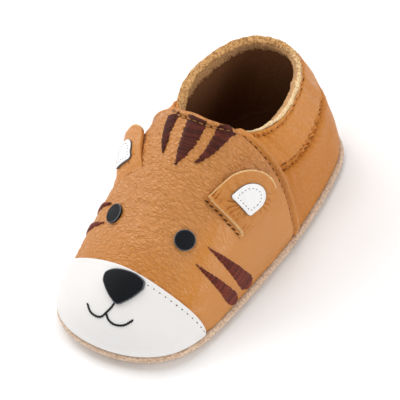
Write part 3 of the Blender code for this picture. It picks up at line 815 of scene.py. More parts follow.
# collar rim: the raw, furry edge of the casing, folded to the inside
rimSet = {
    "columns": 360, "under": 0.05, "turnRows": 12, "foldRows": 16, "lip": 0.7, "drop": 0.55, "square": 0.7,
    "outer": 0.66, "inner": -2.66, "front": -0.8, "frontUpTo": (4.2, 7.2),  # thinner towards the outer front
    "footIn": 0.5, "footDown": 0.35, "foldDown": 5.2, "endGap": 0.1,
    "foldWave": 0.15, "foldWavePitch": 13.0, "foldNap": 0.10, "foldNapPitch": 3.3, "foldSeed": 27,
    "cutEdgeAndHighlightUpTo": (4.0, 6.2),                                # and cut clean there; its brighter cream cut edge is partly a painted highlight
    "foldShadeFade": (0.35, 1.0),                                    # the fold darkens to its lower edge: the lining's colour is mixed in as painted shade deeper in the shoe
    "waves": {  # slow wave, its pitch, fast wave, its pitch, seed
        "outer": (0.14, 9.0, 0.08, 2.1, 21),
        "inner": (0.16, 8.0, 0.09, 1.9, 23),
        "reach": (0.20, 11.0, 0.12, 2.6, 25),
    },
}


def rimWave(girth, slow, slowPitch, fast, fastPitch, seed):
    return slow * waver(girth, slowPitch, seed) + fast * waver(girth, fastPitch, seed + 1)


def makeRim(s):
    u = behindVamp(s["under"], s["columns"])
    girth = u * girthPerSection
    vTop = belowRim(u, s["drop"])
    normal, along = upperNormal(u, vTop), unit(upperSlopes(u, vTop)[1])
    outer = s["outer"] + rimWave(girth, *s["waves"]["outer"])
    folded = s["inner"] + rimWave(girth, *s["waves"]["inner"])
    inner = folded + (s["front"] - s["inner"]) * (1 - smoothStep(*s["frontUpTo"], u))
    reach = s["lip"] + rimWave(girth, *s["waves"]["reach"])
    start = upperPoint(u, vTop)
    rows = [start + normal * (outer - s["footIn"])[:, None] - along * s["footDown"]]
    for t in np.linspace(0, math.pi, s["turnRows"]):
        squared = math.copysign(abs(math.cos(t)) ** s["square"], math.cos(t))
        across = (outer + inner) / 2 + (outer - inner) / 2 * squared
        rows.append(start + normal * across[:, None] + along * (reach * math.sin(t) ** s["square"])[:, None])
    for k, drop in enumerate(np.linspace(0, s["foldDown"], s["foldRows"])[1:]):
        v = stepV(u, vTop, -drop + s["foldWave"] * waver(girth, s["foldWavePitch"], s["foldSeed"]))
        nap = s["foldNap"] * waver(girth + drop, s["foldNapPitch"], s["foldSeed"] + 1 + k)
        rows.append(onUpper(u, v, folded + nap))
    rows.append(onUpper(u, v, np.full(u.shape, -last["wall"] + s["endGap"])))
    grid = np.array(rows)
    ends = [grid[:, k].mean(axis=0) * np.ones((len(rows), 1, 3)) for k in (0, -1)]
    grid = np.concatenate((ends[0], grid, ends[1]), axis=1)
    shape = joinGrids([grid])
    row, column = np.divmod(np.arange(len(shape[1])), grid.shape[1] - 1)
    chance = dice.random(len(shape[1]))
    # the brighter cut-edge finish on the outer front: the raw edge's paler colour, partly a painted highlight
    cutEdgeAndHighlight = 1 - smoothStep(*s["cutEdgeAndHighlightUpTo"], np.interp(column, (0, s["columns"]), (u[0], u[-1])))
    # fold faces take the lining's colour more often lower down: painted shade
    foldShadeFade = smoothStep(*s["foldShadeFade"], (row - s["turnRows"]) / s["foldRows"])
    edgeMarks, foldMarks = np.where(chance < cutEdgeAndHighlight, 2, 0), np.where(chance < foldShadeFade, 3, 1)
    addPiece("collarRim", shape, ["collarFlesh", "collarFoldLit", "collarCutEdge", "darkLining"],
             ["upper"], np.where(row >= s["turnRows"], foldMarks, edgeMarks).tolist())


makeRim(rimSet)

liningSet = {"columns": 144, "rows": 40, "drop": 1.0, "gap": 0.05, "ripple": 0.12, "ripplePitch": 15.0,
             "footIn": 1.6, "footUp": 0.25}     # turned in under the insole


def makeLining(s):
    u = ringOf(s["columns"])
    v = np.linspace(0, 1, s["rows"])[:, None] * belowRim(u, s["drop"])
    rise = -last["wall"] - s["gap"] + s["ripple"] * waver(u * 20 + v * 25, s["ripplePitch"], 33)
    grid = onUpper(np.broadcast_to(u, v.shape), v, rise)
    foot = grid[:1] - s["footIn"] * unit(upperNormal(u, v[0]) * (1, 1, 0)) + up * s["footUp"]
    addPiece("innerLining", joinGrids([np.concatenate((foot, grid))[::-1]], closed=True), ["darkLining"],
             ["upper"])


makeLining(liningSet)
print("quarter, collar and lining made")

# sole: suede with a rolled edge, a bead round the pad, the rubber pad and the insole
soleProfile = {  # reach beyond the seam, height
    "bed": (-3.2, 3.3), "ledgeInside": (-3.0, 4.6), "ledge": (0.2, 4.65), "roll1": (0.7, 4.55),
    "roll2": (1.1, 4.2), "roll3": (1.35, 3.6), "roll4": (1.35, 2.9), "roll5": (1.1, 2.3),
    "roll6": (0.6, 1.85), "under1": (-0.3, 1.45), "under2": (-1.3, 1.25), "border": (-2.2, 1.15),
    "borderLip": (-2.7, 1.25), "borderGroove": (-3.1, 1.75),
}
beadProfile = {
    "outside": (-3.0, 1.9), "outsideTurn": (-3.2, 1.45), "crownOut": (-3.6, 1.08), "crown": (-4.1, 0.98),
    "crownIn": (-4.6, 1.12), "insideTurn": (-5.0, 1.5), "inside": (-5.2, 2.3), "floor": (-7.0, 2.4),
}
soleSet = {
    "columns": 360, "waveUp": 0.4, "slow": (9.0, 40), "fast": (2.3, 60), "fastShare": 0.5,  # pitch, seed
    "pieces": {  # profile, uneven by mm, finish
        "outsoleSuede": (soleProfile, 0.10, "soleSuede"),
        "soleBead": (beadProfile, 0.03, "beadLeather"),
    },
}
padSet = {
    "edge": -5.5, "top": 2.0, "ground": 0.62, "crest": 0.0, "soften": 0.35, "rim": 0.9, "rimWidth": 0.5,
    "along": 250, "across": 100, "borderWidth": 2.4, "borderShare": 0.55, "sharp": 60,
    "borderEdge": (-0.3, 0.1), "motifEdge": (0.2, 0.9),     # mm from the border's width
}
insoleSet = {
    "columns": 180, "across": 30, "bottom": (-3.4, 3.7), "side": (-2.4, 5.0), "top": (-2.5, 5.4),
    "hollow": 0.25, "ripple": 0.08, "ripplePitch": 23.0, "sharp": 60,
}


def makeOutsole(s):
    u = ringOf(s["columns"])
    girth = u * girthPerSection
    (slowPitch, slowSeed), (fastPitch, fastSeed) = s["slow"], s["fast"]
    for name, (profile, uneven, finish) in s["pieces"].items():
        rings = []
        for k, (reach, height) in enumerate(profile.values()):
            fast = s["fastShare"] * waver(girth, fastPitch, fastSeed + k)
            waves = uneven * (waver(girth, slowPitch, slowSeed + k) + fast)
            rings.append(seamRing(reach + waves, height + s["waveUp"] * waves, u))
        addPiece(name, joinGrids([np.array(rings)[::-1]], closed=True), [finish], ["outsole"])


makeOutsole(soleSet)


def ladder(ring, across):  # a grid from toe to heel across a closed ring that starts at the toe
    count = len(ring) // 2
    outer, inner = ring[:count + 1], ring[np.r_[0, np.arange(len(ring) - 1, count - 1, -1)]]
    share = np.linspace(0, 1, across)[None, :, None]
    return outer[:, None] * (1 - share) + inner[:, None] * share


# tread: clouds and pebbles in staggered rows, raised from the pad's ground
cloudLobes = ((-1.9, 0.0, 1.55), (1.9, 0.1, 1.45), (0.0, 1.0, 2.0), (0.0, -0.5, 1.6))  # across, along, radius
pebbleLobes = ((-0.7, 0.0, 1.35), (0.8, 0.25, 1.2))
treadLayout = {"rows": 13, "sideColumns": 3, "rowPitch": 9.4, "columnPitch": 10.6, "first": -52.0,
               "middle": 0.5, "tilt": 0.35}


def treadRelief(x, y, soften, s):
    nearest = np.full(x.shape, -np.inf)
    for row in range(s["rows"]):
        stagger, turn = (0.5, s["tilt"]) if row % 2 else (0.0, -s["tilt"])
        for column in range(-s["sideColumns"], s["sideColumns"] + 1):
            dx = x - (column + stagger) * s["columnPitch"] - s["middle"]
            dy = y - s["first"] - row * s["rowPitch"]
            a = dx * math.cos(turn) + dy * math.sin(turn)
            b = -dx * math.sin(turn) + dy * math.cos(turn)
            for across, along, radius in pebbleLobes if (row + column) % 2 else cloudLobes:
                nearest = np.maximum(nearest, radius - np.hypot(a - across, b - along))
    return smoothStep(-0.5 * soften, soften, nearest)


def makeTread(s):
    grid = ladder(seamRing(s["edge"], s["ground"], ringOf(2 * s["along"])), s["across"])
    share = np.abs(np.linspace(-1, 1, s["across"]))[None, :]
    x, y = grid[..., 0], grid[..., 1]
    width = np.linalg.norm(grid[:, 0] - grid[:, -1], axis=-1)[:, None]
    inside = np.minimum((1 - share) * width / 2, np.minimum(y - y.min(), y.max() - y))
    border = 1 - smoothStep(*(s["borderWidth"] + step for step in s["borderEdge"]), inside)
    motif = treadRelief(x, y, s["soften"], treadLayout)
    motif = motif * smoothStep(*(s["borderWidth"] + step for step in s["motifEdge"]), inside)
    height = s["ground"] - (s["ground"] - s["crest"]) * np.maximum(motif, s["borderShare"] * border)
    height = height + (s["rim"] - height) * (1 - smoothStep(0.0, s["rimWidth"], inside))
    grid[..., 2] = height + toeLift(y)
    topGrid = grid[:, ::-1].copy()
    topGrid[..., 2] = s["top"] + toeLift(y)
    addPiece("treadPadRubber", joinGrids([grid, topGrid]), ["treadRubber"], ["tread_pad"],
             sharp=s["sharp"])


makeTread(padSet)


def makeInsole(s):
    u = ringOf(s["columns"])
    side = np.array([seamRing(*s[key], u) for key in ("bottom", "side", "top")])
    top = ladder(side[-1], s["across"])
    share = np.linspace(-1, 1, s["across"])[None, :]
    ripple = s["ripple"] * waver(top[..., 0] * 2 + top[..., 1], s["ripplePitch"], 71)
    top[..., 2] += ripple - s["hollow"] * (1 - share ** 2)
    points, faces = joinGrids([side], closed=True)
    faces += gridFaces(top.shape[0], top.shape[1], False, len(points))
    points = np.concatenate((points, top[:, ::-1].reshape(-1, 3)))
    addPiece("insoleSheet", (points, faces), ["darkLining"], ["insole"], sharp=s["sharp"])


makeInsole(insoleSet)
print("sole made")

# patches on the face: rings from the middle of an outline to its edge, and round to the underside
patchSet = {
    "faceShares": (0.12, 0.3, 0.5, 0.68, 0.82, 0.92), "sharp": 60,
    "bevel": 0.35, "shoulder": 0.07, "side": 0.25, "foot": 0.1,             # mm
    "shoulderShare": 0.35, "footShare": 0.3, "underShare": 0.5,             # two of the bevel, one of the patch
}


def roundedRings(thickness, base, radius, dome=0.0):  # shares and rises of a cut leather patch
    s = patchSet
    bevel, top = s["bevel"] / radius, base + thickness
    rings = [(share, top + dome * (1 - share * share)) for share in s["faceShares"]]
    return rings + [(1 - bevel, top), (1 - s["shoulderShare"] * bevel, top - s["shoulder"]),
                    (1.0, top - s["side"]), (1.0, base + s["foot"]), (1 - s["footShare"] * bevel, base),
                    (s["underShare"], base)]


def scaledOutline(outline, share):
    centre = outline.mean(axis=0)
    return (centre + (outline - centre) * share).T


def patchGrid(origin, outline, rings):
    grid = []
    for share, rise in rings:
        u, v = placeOnUpper(origin, up, *scaledOutline(outline, share))
        grid.append(onUpper(u, v, np.full(u.shape, rise)))
    return np.array(grid)


def ringMarks(rowCount, count, edgeFrom, edgeTo):  # second finish between two rings
    return [1 if edgeFrom <= k // count < edgeTo else 0 for k in range((rowCount - 1) * count)]


def addPatch(name, grid, finishNames, node, marks):
    rowCount, count = grid.shape[:2]
    points, faces = joinGrids([grid], closed=True)
    points = np.concatenate((points, grid[:1].mean(axis=1), grid[-1:].mean(axis=1)))
    first, final = rowCount * count, rowCount * count + 1
    lastRow = (rowCount - 1) * count
    for k in range(count):
        n = (k + 1) % count
        faces += [(first, n, k), (final, lastRow + k, lastRow + n)]
    faces = [face[::-1] for face in faces]
    marks = list(marks) + [0, 0] * count
    addPiece(name, (points, faces), finishNames, [node], marks, patchSet["sharp"])


# toe cap: white leather in front of a shallow arc across the toes
capSet = {
    "middle": -43.8, "arc": 0.0038, "foot": 0.006, "side": 0.05, "columns": 170, "rows": 60, "edgeCrowd": 1.5,
    "base": 0.1, "thickness": 0.85, "edgeRound": 0.5, "edgeDrop": 0.3, "wall": (0.55, 1.0),
    "stitchInset": 1.7, "stitchDent": 0.03, "stitchWidth": 0.45, "lump": 0.06, "lumpInside": (1.0, 5.0),
    "lumpWaves": ((23.0, 81), (17.0, 82)),
    "search": (-2.5, 2.5, 2001), "sharp": 50,
}


def capBoundary(u):
    low, high = np.zeros_like(u), np.ones_like(u)
    for _ in range(halvings):
        middle = (low + high) / 2
        p = upperPoint(u, middle)
        front = p[..., 1] < capSet["middle"] + capSet["arc"] * p[..., 0] ** 2
        low, high = np.where(front, middle, low), np.where(front, high, middle)
    return low


def capSpan():
    u = np.linspace(*capSet["search"])
    reach = u[capBoundary(u) > capSet["side"]]
    return reach[0], reach[-1]


capEnds = capSpan()


def makeToeCap(s):
    u = np.linspace(*capEnds, s["columns"])
    share = np.linspace(0, 1, s["rows"])[:, None]
    v = s["foot"] + (capBoundary(u) - s["foot"]) * (1 - (1 - share) ** s["edgeCrowd"])
    uGrid = np.broadcast_to(u, v.shape)
    points = upperPoint(uGrid, v)
    borders = (points[-1:], points[:, :1], points[:, -1:])
    edge = np.min([np.linalg.norm(points - border, axis=-1) for border in borders], axis=0)
    full = s["base"] + s["thickness"]
    rise = full - s["edgeDrop"] * quarterRound(np.clip(edge / s["edgeRound"], 0, 1))
    rise = rise - s["stitchDent"] * bump(edge - s["stitchInset"], s["stitchWidth"])
    lumps = swells(uGrid * 20, v * 60, s["lumpWaves"])
    rise = rise + s["lump"] * lumps * smoothStep(*s["lumpInside"], edge)
    wall = [onUpper(u, v[-1], np.full(u.shape, full - drop)) for drop in s["wall"]]
    shape = joinGrids([np.concatenate((onUpper(uGrid, v, rise), np.array(wall)))])
    rowOf = np.arange(len(shape[1])) // (s["columns"] - 1)
    marks = np.where(rowOf >= s["rows"] - 1, 1, 0).tolist()
    addPiece("toeCapLeather", shape, ["whiteLeather", "whiteCutEdge"], ["toe_cap"], marks,
             s["sharp"])


makeToeCap(capSet)

noseSet = {
    "place": (0.068, 0.36), "base": 1.05, "thickness": 0.85, "radius": 6.0, "dome": 0.25, "count": 96,
    "half": ((2.7, -4.3), (4.95, -2.1), (6.3, -0.35), (7.05, 0.9), (7.1, 2.7), (6.4, 3.9), (3.7, 5.25)),
    "tip": -5.9, "top": 5.65,
}
eyeSet = {"place": (0.73, 0.564), "base": 0.15, "thickness": 0.85, "radius": 3.55, "dome": 0.2, "count": 64}
blackEdge = (6, 8)                      # rings that show the cut edge


def addBlackPatch(name, node, place, outline, s):
    rings = roundedRings(s["thickness"], s["base"], s["radius"], s["dome"])
    addPatch(name, patchGrid(place, outline, rings), ["blackLeather", "greyCutEdgeAndShade"], node,
             ringMarks(len(rings), s["count"], *blackEdge))


def makeFace(nose, eye):
    right = list(nose["half"])
    left = [(-x, y) for x, y in right[::-1]]
    outline = smoothLoop([(0.0, nose["tip"])] + right + [(0.0, nose["top"])] + left, nose["count"])
    addBlackPatch("noseLeather", "nose", nose["place"], outline, nose)
    turn = np.linspace(0, 2 * math.pi, eye["count"] + 1)[:-1]
    disc = eye["radius"] * np.stack((np.sin(turn), -np.cos(turn)), axis=-1)
    for side, sign in (("lateral", 1), ("medial", -1)):
        place = (sign * eye["place"][0], eye["place"][1])
        addBlackPatch(f"eyeLeather_{side}", f"eye_{side}", place, disc, eye)


makeFace(noseSet, eyeSet)

earSet = {
    "width": 18.0, "length": 20.0, "straight": 0.5, "corner": 0.3, "count": 160,
    "thickness": 1.3, "thinnest": 0.04, "base": 0.15, "liftCurve": 1.4, "ease": 0.6, "curlStart": 10.0,
    "faceShares": ((0.06, 0.7, 14), (0.72, 0.96, 20)), "underShares": (0.75, 0.4),
    "edgeRings": 3, "edgeRadius": 9.0,
    "ears": {  # middle of the sewn edge, turn, lift of the free end, share of the vamp's fall not followed
        "lateral": {"place": (1.53, 0.56), "turn": 0.0, "lift": 3.2, "stiffness": 0.0, "curl": 0.0, "out": 1,
                    "ramp": (0.8, 1.7), "ridge": 0.4, "sink": 0.0, "wrinkle": 0.9,
                    "cream": (1.3, 1.8), "creamSide": 3.0, "thinUpTo": (12.0, 17.0), "liningStart": 6.6},
        "medial": {"place": (-1.33, 0.62), "turn": -0.25, "lift": 0.6, "stiffness": 0.88, "curl": 0.05,
                   "out": -1, "ramp": (-1.0, 8.5), "ridge": 0.0, "sink": 0.5, "wrinkle": 0.4,
                   "cream": (7.0, 7.0), "creamSide": 5.5, "thinUpTo": (3.0, 7.0), "liningStart": 4.4},
    },
    "seamDrop": 1.2, "sinkReach": 3.0,
    "fold": 1.85, "foldWidth": 0.6,                         # the sewn strip in front and the fold behind it
    "foldCrease": 0.9, "creaseBehind": 1.0, "wrinkledFrom": 1.2,
    "wrinkleSharp": 0.5, "foldWrinkle": (1.2, 2.4),         # mm behind the fold, reach
    "foldRipples": (1.6, 1.2, 0.8, 0.3), "spokeRipples": (9, 1.4, 3, 0.3),  # rate, stray, its rate, slant
    "spokeAt": 6.0, "spokeReach": 1.9, "spokeMiddle": 0.7, "spokeEnds": (2.6, 1.4),
    "thinSide": (4.5, 9.0), "thinShare": 0.8,               # the outer side lies down on the vamp
    "lump": 0.14, "lumpFrom": (3.0, 8.0), "lumpWave": (11.0, 91),
}
earLiningSet = {"width": 8.9, "length": 9.4, "straight": 0.45, "corner": 0.7, "count": 80, "middle": 0.45,
                "thickness": 0.7, "gap": 0.05, "radius": 4.6, "dome": 0.12, "edge": (7, 10)}
nudge = 0.05                            # mm, for slopes on an ear
flapShape = {"arcPoints": 15, "sideShares": (0.35, 0.7), "baseShares": (-0.5, -0.2, 0.2, 0.5), "finer": 24}


def flapOutline(s, start=0.0, count=None):  # straight sewn edge, straight sides and a round free end
    half, corner = s["width"] / 2, s["corner"]
    arc = [(half * math.cos(t), start + s["length"] * (s["straight"] + (1 - s["straight"]) * math.sin(t)))
           for t in np.linspace(0, math.pi, flapShape["arcPoints"])]
    side = [(half, start + s["length"] * s["straight"] * share) for share in flapShape["sideShares"]]
    base = [(-x, y) for x, y in side[::-1]] + [(-half, start + corner), (-half + corner, start)]
    base += [(share * half, start) for share in flapShape["baseShares"]]
    base += [(half - corner, start), (half, start + corner)] + side
    dense = smoothLoop(arc + base, len(arc + base) * flapShape["finer"])
    ring = np.concatenate((dense, dense[:1]))
    run = runAlong(ring)
    count = count or s["count"]
    return spotsAt(np.arange(count) * run[-1] / count, run, ring)[::-1]


def earUnder(ear, across, ahead, s):  # underside: on the vamp at its sewn edge, standing off it behind
    normal = upperNormal(*ear["place"])
    straight = unit(back - normal * np.dot(back, normal))
    forwards = math.cos(ear["turn"]) * straight + math.sin(ear["turn"]) * np.cross(straight, normal)
    u, v = placeOnUpper(ear["place"], forwards, across, ahead)
    sewn = upperPoint(*placeOnUpper(ear["place"], forwards, across, 0 * ahead))
    share = np.clip(ahead / s["length"], 0, 1)
    fall = (sewn - upperPoint(u, v)) @ normal
    held = ear["stiffness"] * (fall + np.hypot(fall, s["ease"] * share)) / 2
    held = held - ear["curl"] * np.clip(across, None, 0) ** 2 * np.clip(ahead / s["curlStart"], 0, 1) ** 1.5
    sunk = ear["sink"] * (1 - smoothStep(0.0, s["sinkReach"], ahead))
    follow = onUpper(u, v, s["base"] - sunk + ear["lift"] * share ** s["liftCurve"])
    return follow + normal * np.clip(held, 0, None)[..., None]


def earSheet(ear, across, ahead, above, s):
    points = earUnder(ear, across, ahead, s)
    sideways = earUnder(ear, across + nudge, ahead, s) - points
    onwards = earUnder(ear, across, ahead + nudge, s) - points
    normals = unit(np.cross(sideways, onwards))
    return points + normals * np.broadcast_to(above, across.shape)[..., None], normals


def ripples(x, y, rate, stray, strayRate, slant):
    return np.abs(np.sin(rate * x + stray * np.sin(strayRate * x) + slant * y))


def earRelief(ear, across, ahead, s, wrinkled=True):  # what the ear's face adds to its thickness
    depth = ear["wrinkle"] * wrinkled
    fold, width = s["fold"], s["foldWidth"]
    rise = -s["seamDrop"] * (1 - smoothStep(*ear["ramp"], ahead))
    crease = s["foldCrease"] * bump(ahead - fold - s["creaseBehind"], width)
    rise += ear["ridge"] * (bump(ahead - fold, width) - crease)
    behind = depth * smoothStep(fold, fold + s["wrinkledFrom"], ahead)
    wrinkle = ripples(across, ahead, *s["foldRipples"]) ** s["wrinkleSharp"]
    rise += behind * (wrinkle - 1) * bump(ahead - fold - s["foldWrinkle"][0], s["foldWrinkle"][1])
    y = ahead - ear["liningStart"] - earLiningSet["middle"] * earLiningSet["length"]
    spoke = np.arctan2(across * ear["out"], -y)             # wrinkles that leave the lining like spokes
    off = np.hypot(across, y) - s["spokeAt"]
    wrinkle = ripples(spoke, off, *s["spokeRipples"]) ** s["wrinkleSharp"]
    facing = smoothStep(*s["spokeEnds"], np.abs(spoke - s["spokeMiddle"]))
    rise += behind * (wrinkle - 1) * bump(off, s["spokeReach"]) * facing
    thin = smoothStep(*s["thinSide"], across * ear["out"]) * (1 - smoothStep(*ear["thinUpTo"], ahead))
    lumps = s["lump"] * waver(across + 2 * ahead, *s["lumpWave"]) * smoothStep(*s["lumpFrom"], ahead)
    return rise + lumps - s["thinShare"] * s["thickness"] * thin


def makeEar(side, ear, s):
    outline, top = flapOutline(s), s["thickness"]
    faceShares = np.concatenate([np.linspace(*span) for span in s["faceShares"]])
    edge = roundedRings(top, 0.0, s["edgeRadius"])[len(patchSet["faceShares"]):-1]
    rings = [(share, top) for share in faceShares] + edge + [(share, 0.0) for share in s["underShares"]]
    low, high = ear["cream"]
    grid, pale = [], []
    for k, (share, rise) in enumerate(rings):
        across, ahead = scaledOutline(outline, share)
        relief = earRelief(ear, across, ahead, s) * min(1.0, rise / top)
        grid.append(earSheet(ear, across, ahead, np.maximum(rise + relief, s["thinnest"] * rise), s)[0])
        onEdge = len(faceShares) - 1 <= k < len(faceShares) + s["edgeRings"]
        # the cut edge is cream only on its lit side; on the side in shade it keeps the ear's caramel: painted
        # shade
        cut = onEdge & (ahead > low) & (across < ear["creamSide"])
        pale.append((cut | (ahead > low) & (ahead < high) & (k < len(faceShares))).astype(int))
    addPatch(f"earLeather_{side}", np.array(grid), ["caramelEar", "creamCutEdge"],
             f"ear_{side}", np.array(pale[:-1]).ravel().tolist())


def makeEarLining(side, ear, s, lining):
    outline = flapOutline(lining, ear["liningStart"])
    grid = []
    for share, rise in roundedRings(lining["thickness"], s["thickness"] + lining["gap"], lining["radius"],
                                    lining["dome"]):
        across, ahead = scaledOutline(outline, share)
        grid.append(earSheet(ear, across, ahead, rise + earRelief(ear, across, ahead, s, False), s)[0])
    # the dark grey finish on the lining's edge is painted shade
    addPatch(f"earLiningLeather_{side}", np.array(grid), ["earLiningLeather", "greyCutEdgeAndShade"],
             f"ear_lining_{side}", ringMarks(len(grid), lining["count"], *lining["edge"]))


for earSide, earValues in earSet["ears"].items():
    makeEar(earSide, earValues, earSet)
    makeEarLining(earSide, earValues, earSet, earLiningSet)
print("face and ears made")

# embroidery: satin threads laid across each stripe, their ends uneven
stripeSet = {
    "pitch": 0.44, "first": 0.3, "threadWidth": 0.52, "height": 0.55, "flank": 0.35, "sink": -0.15, "arch": 5,
    "ragged": 0.2, "raggedEnds": (-0.6, 1.0), "skew": 0.07, "taper": 0.92, "top": 0.95, "lowest": 0.004,
    "endRound": 2.6, "endShare": 0.8,   # mm of the cheek stripes' broad end that is rounded
    "across": 9, "around": 6,           # points of one thread
    "stripes": {  # tip and both corners of the broad end on the upper, finish, straight or bent round
        "brow_stripe_middle": ((0.07, 0.804), (-0.29, 0.99), (0.98, 1.0), "satinBrow", False),
        "brow_stripe_lateral": ((0.56, 0.824), (1.63, 1.0), (2.48, 0.92), "satinBrow", False),
        "brow_stripe_medial": ((-0.45, 0.82), (-1.56, 0.914), (-0.96, 0.986), "satinBrow", False),
        "cheek_stripe_lateral_rear": ((1.21, 0.509), (2.09, 0.02), (2.30, 0.045), "satinCheek", True),
        "cheek_stripe_lateral_front": ((1.02, 0.469), (1.86, 0.015), (2.04, 0.03), "satinCheek", True),
        "cheek_stripe_medial_rear": ((-1.06, 0.558), (-2.30, 0.045), (-2.09, 0.02), "satinCheek", True),
        "cheek_stripe_medial_front": ((-0.88, 0.51), (-2.04, 0.03), (-1.86, 0.015), "satinCheek", True),
    },
}


def threadGrids(tip, cornerA, cornerB, straight, s):
    tip, cornerA, cornerB = (np.array(place) for place in (tip, cornerA, cornerB))
    middle, side = (cornerA + cornerB) / 2, (cornerB - cornerA) / 2
    chord = upperPoint(*middle) - upperPoint(*tip)
    normal = upperNormal(*tip)
    heading = chord - normal * np.dot(chord, normal)
    length = np.linalg.norm(heading) if straight else np.linalg.norm(chord)
    halfWidth = np.linalg.norm(upperPoint(*cornerB) - upperPoint(*cornerA)) / 2
    spread = np.linspace(-1, 1, s["across"])
    turn = np.linspace(0, math.pi, s["around"])[:, None]
    crown = s["height"] * (s["flank"] + (1 - s["flank"]) * np.sin(turn))
    rise = s["sink"] + (crown - s["sink"]) * (1 - np.abs(spread) ** s["arch"])
    grids = []
    for distance in np.arange(s["first"], length, s["pitch"]):
        reach = halfWidth * (distance / length) ** s["taper"]
        if straight:
            intoEnd = max(0.0, 1 - (length - distance) / s["endRound"])
            reach *= math.sqrt(1 - s["endShare"] * intoEnd ** 2)
        left, right = (reach + s["ragged"] * dice.uniform(*s["raggedEnds"]) for _ in range(2))
        across = np.where(spread < 0, spread * left, spread * right) + 0 * turn
        ahead = distance + dice.uniform(-s["skew"], s["skew"]) * across + s["threadWidth"] / 2 * np.cos(turn)
        if straight:
            u, v = placeOnUpper(tip, unit(heading), across, ahead)
            v = np.maximum(v, s["lowest"])
        else:
            share = ahead[..., None] / length
            u, v = np.moveaxis(tip + (middle - tip) * share + side * across[..., None] / halfWidth, -1, 0)
            v = np.minimum(v, belowRim(u, s["top"]))
        grids.append(onUpper(u, v, vampRise(u, v, vampSet) + rise))
    return grids


def makeStripes(s):
    for name, (*places, finish, straight) in s["stripes"].items():
        grids = threadGrids(*places, straight, s)
        shape = joinGrids(grids)
        shades = dice.integers(0, len(satinShades), len(grids))
        marks = np.repeat(shades, len(shape[1]) // len(grids)).tolist()
        words = name.split("_")
        pieceName = words[0] + "Embroidery_" + "_".join(words[2:])
        threads = [finish + shade for shade in satinShades]
        addPiece(pieceName, shape, threads, [name], marks)


makeStripes(stripeSet)
print("embroidery made")

# stitches: short rounded threads in rows, with dark capsules between them as painted shade in the needle's
# holes
stitchSlices = ((-0.5, 0.2), (-0.42, 0.72), (-0.2, 1.0), (0.2, 1.0), (0.42, 0.72), (0.5, 0.2))  # along, width
headingReach, holeSlant = 0.5, 0.7      # mm either way for a heading, most slant of an uneven hole
stitchTurns = np.linspace(0, 2 * math.pi, 9)[:-1]
stitchTemplate = np.array([[(x, w * math.cos(t), w * math.sin(t)) for t in stitchTurns]
                           for x, w in stitchSlices])


def pathOn(u, v, rise, pitch, shift=0.0):  # spots, headings and normals at an even pitch along a line
    line = onUpper(u, v, rise)
    run = runAlong(line)
    count = max(1, int(round(run[-1] / pitch)))
    at = (np.arange(count) + 0.5 + shift) * run[-1] / count
    ahead = unit(spotsAt(at + headingReach, run, line) - spotsAt(at - headingReach, run, line))
    return spotsAt(at, run, line), ahead, upperNormal(np.interp(at, run, u), np.interp(at, run, v))


def capsules(spots, ahead, normals, size, slant=0.0):
    ahead = unit(ahead + slant * np.cross(normals, ahead))
    across = np.cross(normals, ahead)
    x, y, z = (stitchTemplate[..., k, None] for k in range(3))
    length, halfWidth, halfHeight = size["length"], size["width"] / 2, size.get("height", size["width"]) / 2
    return [spot + x * length * a + y * halfWidth * b + z * halfHeight * n
            for spot, a, b, n in zip(spots, ahead, across, normals)]


def stitchRow(u, v, rise, thread, hole):
    spots, ahead, normals = pathOn(u, v, rise, thread["pitch"])
    threads = capsules(spots + normals * thread["lift"], ahead, normals, thread)
    # dark capsules between the threads: painted shade in the needle holes
    holes = []
    for spot, heading, normal in zip(*pathOn(u, v, rise, thread["pitch"], 0.5)):
        long, wide = 1 + hole["uneven"] * dice.uniform(-1, 1, 2)
        size = {"length": hole["length"] * long, "width": hole["width"] * wide, "height": hole["height"]}
        slant = hole["uneven"] * dice.uniform(-holeSlant, holeSlant)
        holes += capsules([spot], heading[None], normal[None], size, slant)
    return threads, holes


seamThread = {"pitch": 2.5, "length": 1.6, "width": 0.46, "lift": -0.06}
seamHole = {"length": 1.15, "width": 0.42, "height": 0.34, "uneven": 0.35}
throatThread = {"pitch": 2.4, "length": 1.75, "width": 0.5, "lift": 0.02}
throatHole = {"length": 0.8, "width": 0.45, "height": 0.3, "uneven": 0.3}
gatherThread = {"pitch": 2.6, "length": 1.3, "width": 0.44, "lift": -0.12}
gatherHole = {"length": 1.2, "width": 0.5, "height": 0.30, "uneven": 0.35}
capThread = {"pitch": 2.25, "length": 1.6, "width": 0.4, "lift": -0.10}
capHole = {"length": 0.64, "width": 0.50, "height": 0.28, "uneven": 0.2}
capHoleFaint = {"length": 0.30, "width": 0.26, "height": 0.16, "uneven": 0.2}
stitchPlaces = {
    "hemHeights": (0.02, 0.90, 120), "hemGap": 0.8, "throatSections": (-2.45, 2.45, 200),
    "gatherSections": (3.06, 8.94, 500), "capShare": 0.97, "capMiddle": -0.15, "capPoints": 200,
    "onLeather": 0.05, "onThroat": 0.5, "inCap": 0.1,   # mm from the leather's face
}
stitchPieces = {  # threads, their finish and slot, holes (dark capsules of painted shade), their finish
    "seam": ("seamStitches", "tanThread", "caramel_leather", "seamNeedleHoles", "brownHoleShade"),
    "gather": ("gatherStitches", "tanThread", "caramel_leather", "gatherNeedleHoles", "brownHoleShade"),
    "cap": ("toeCapStitches", "whiteThread", "white_leather", "toeCapNeedleHoles", "darkStitchShade"),
}


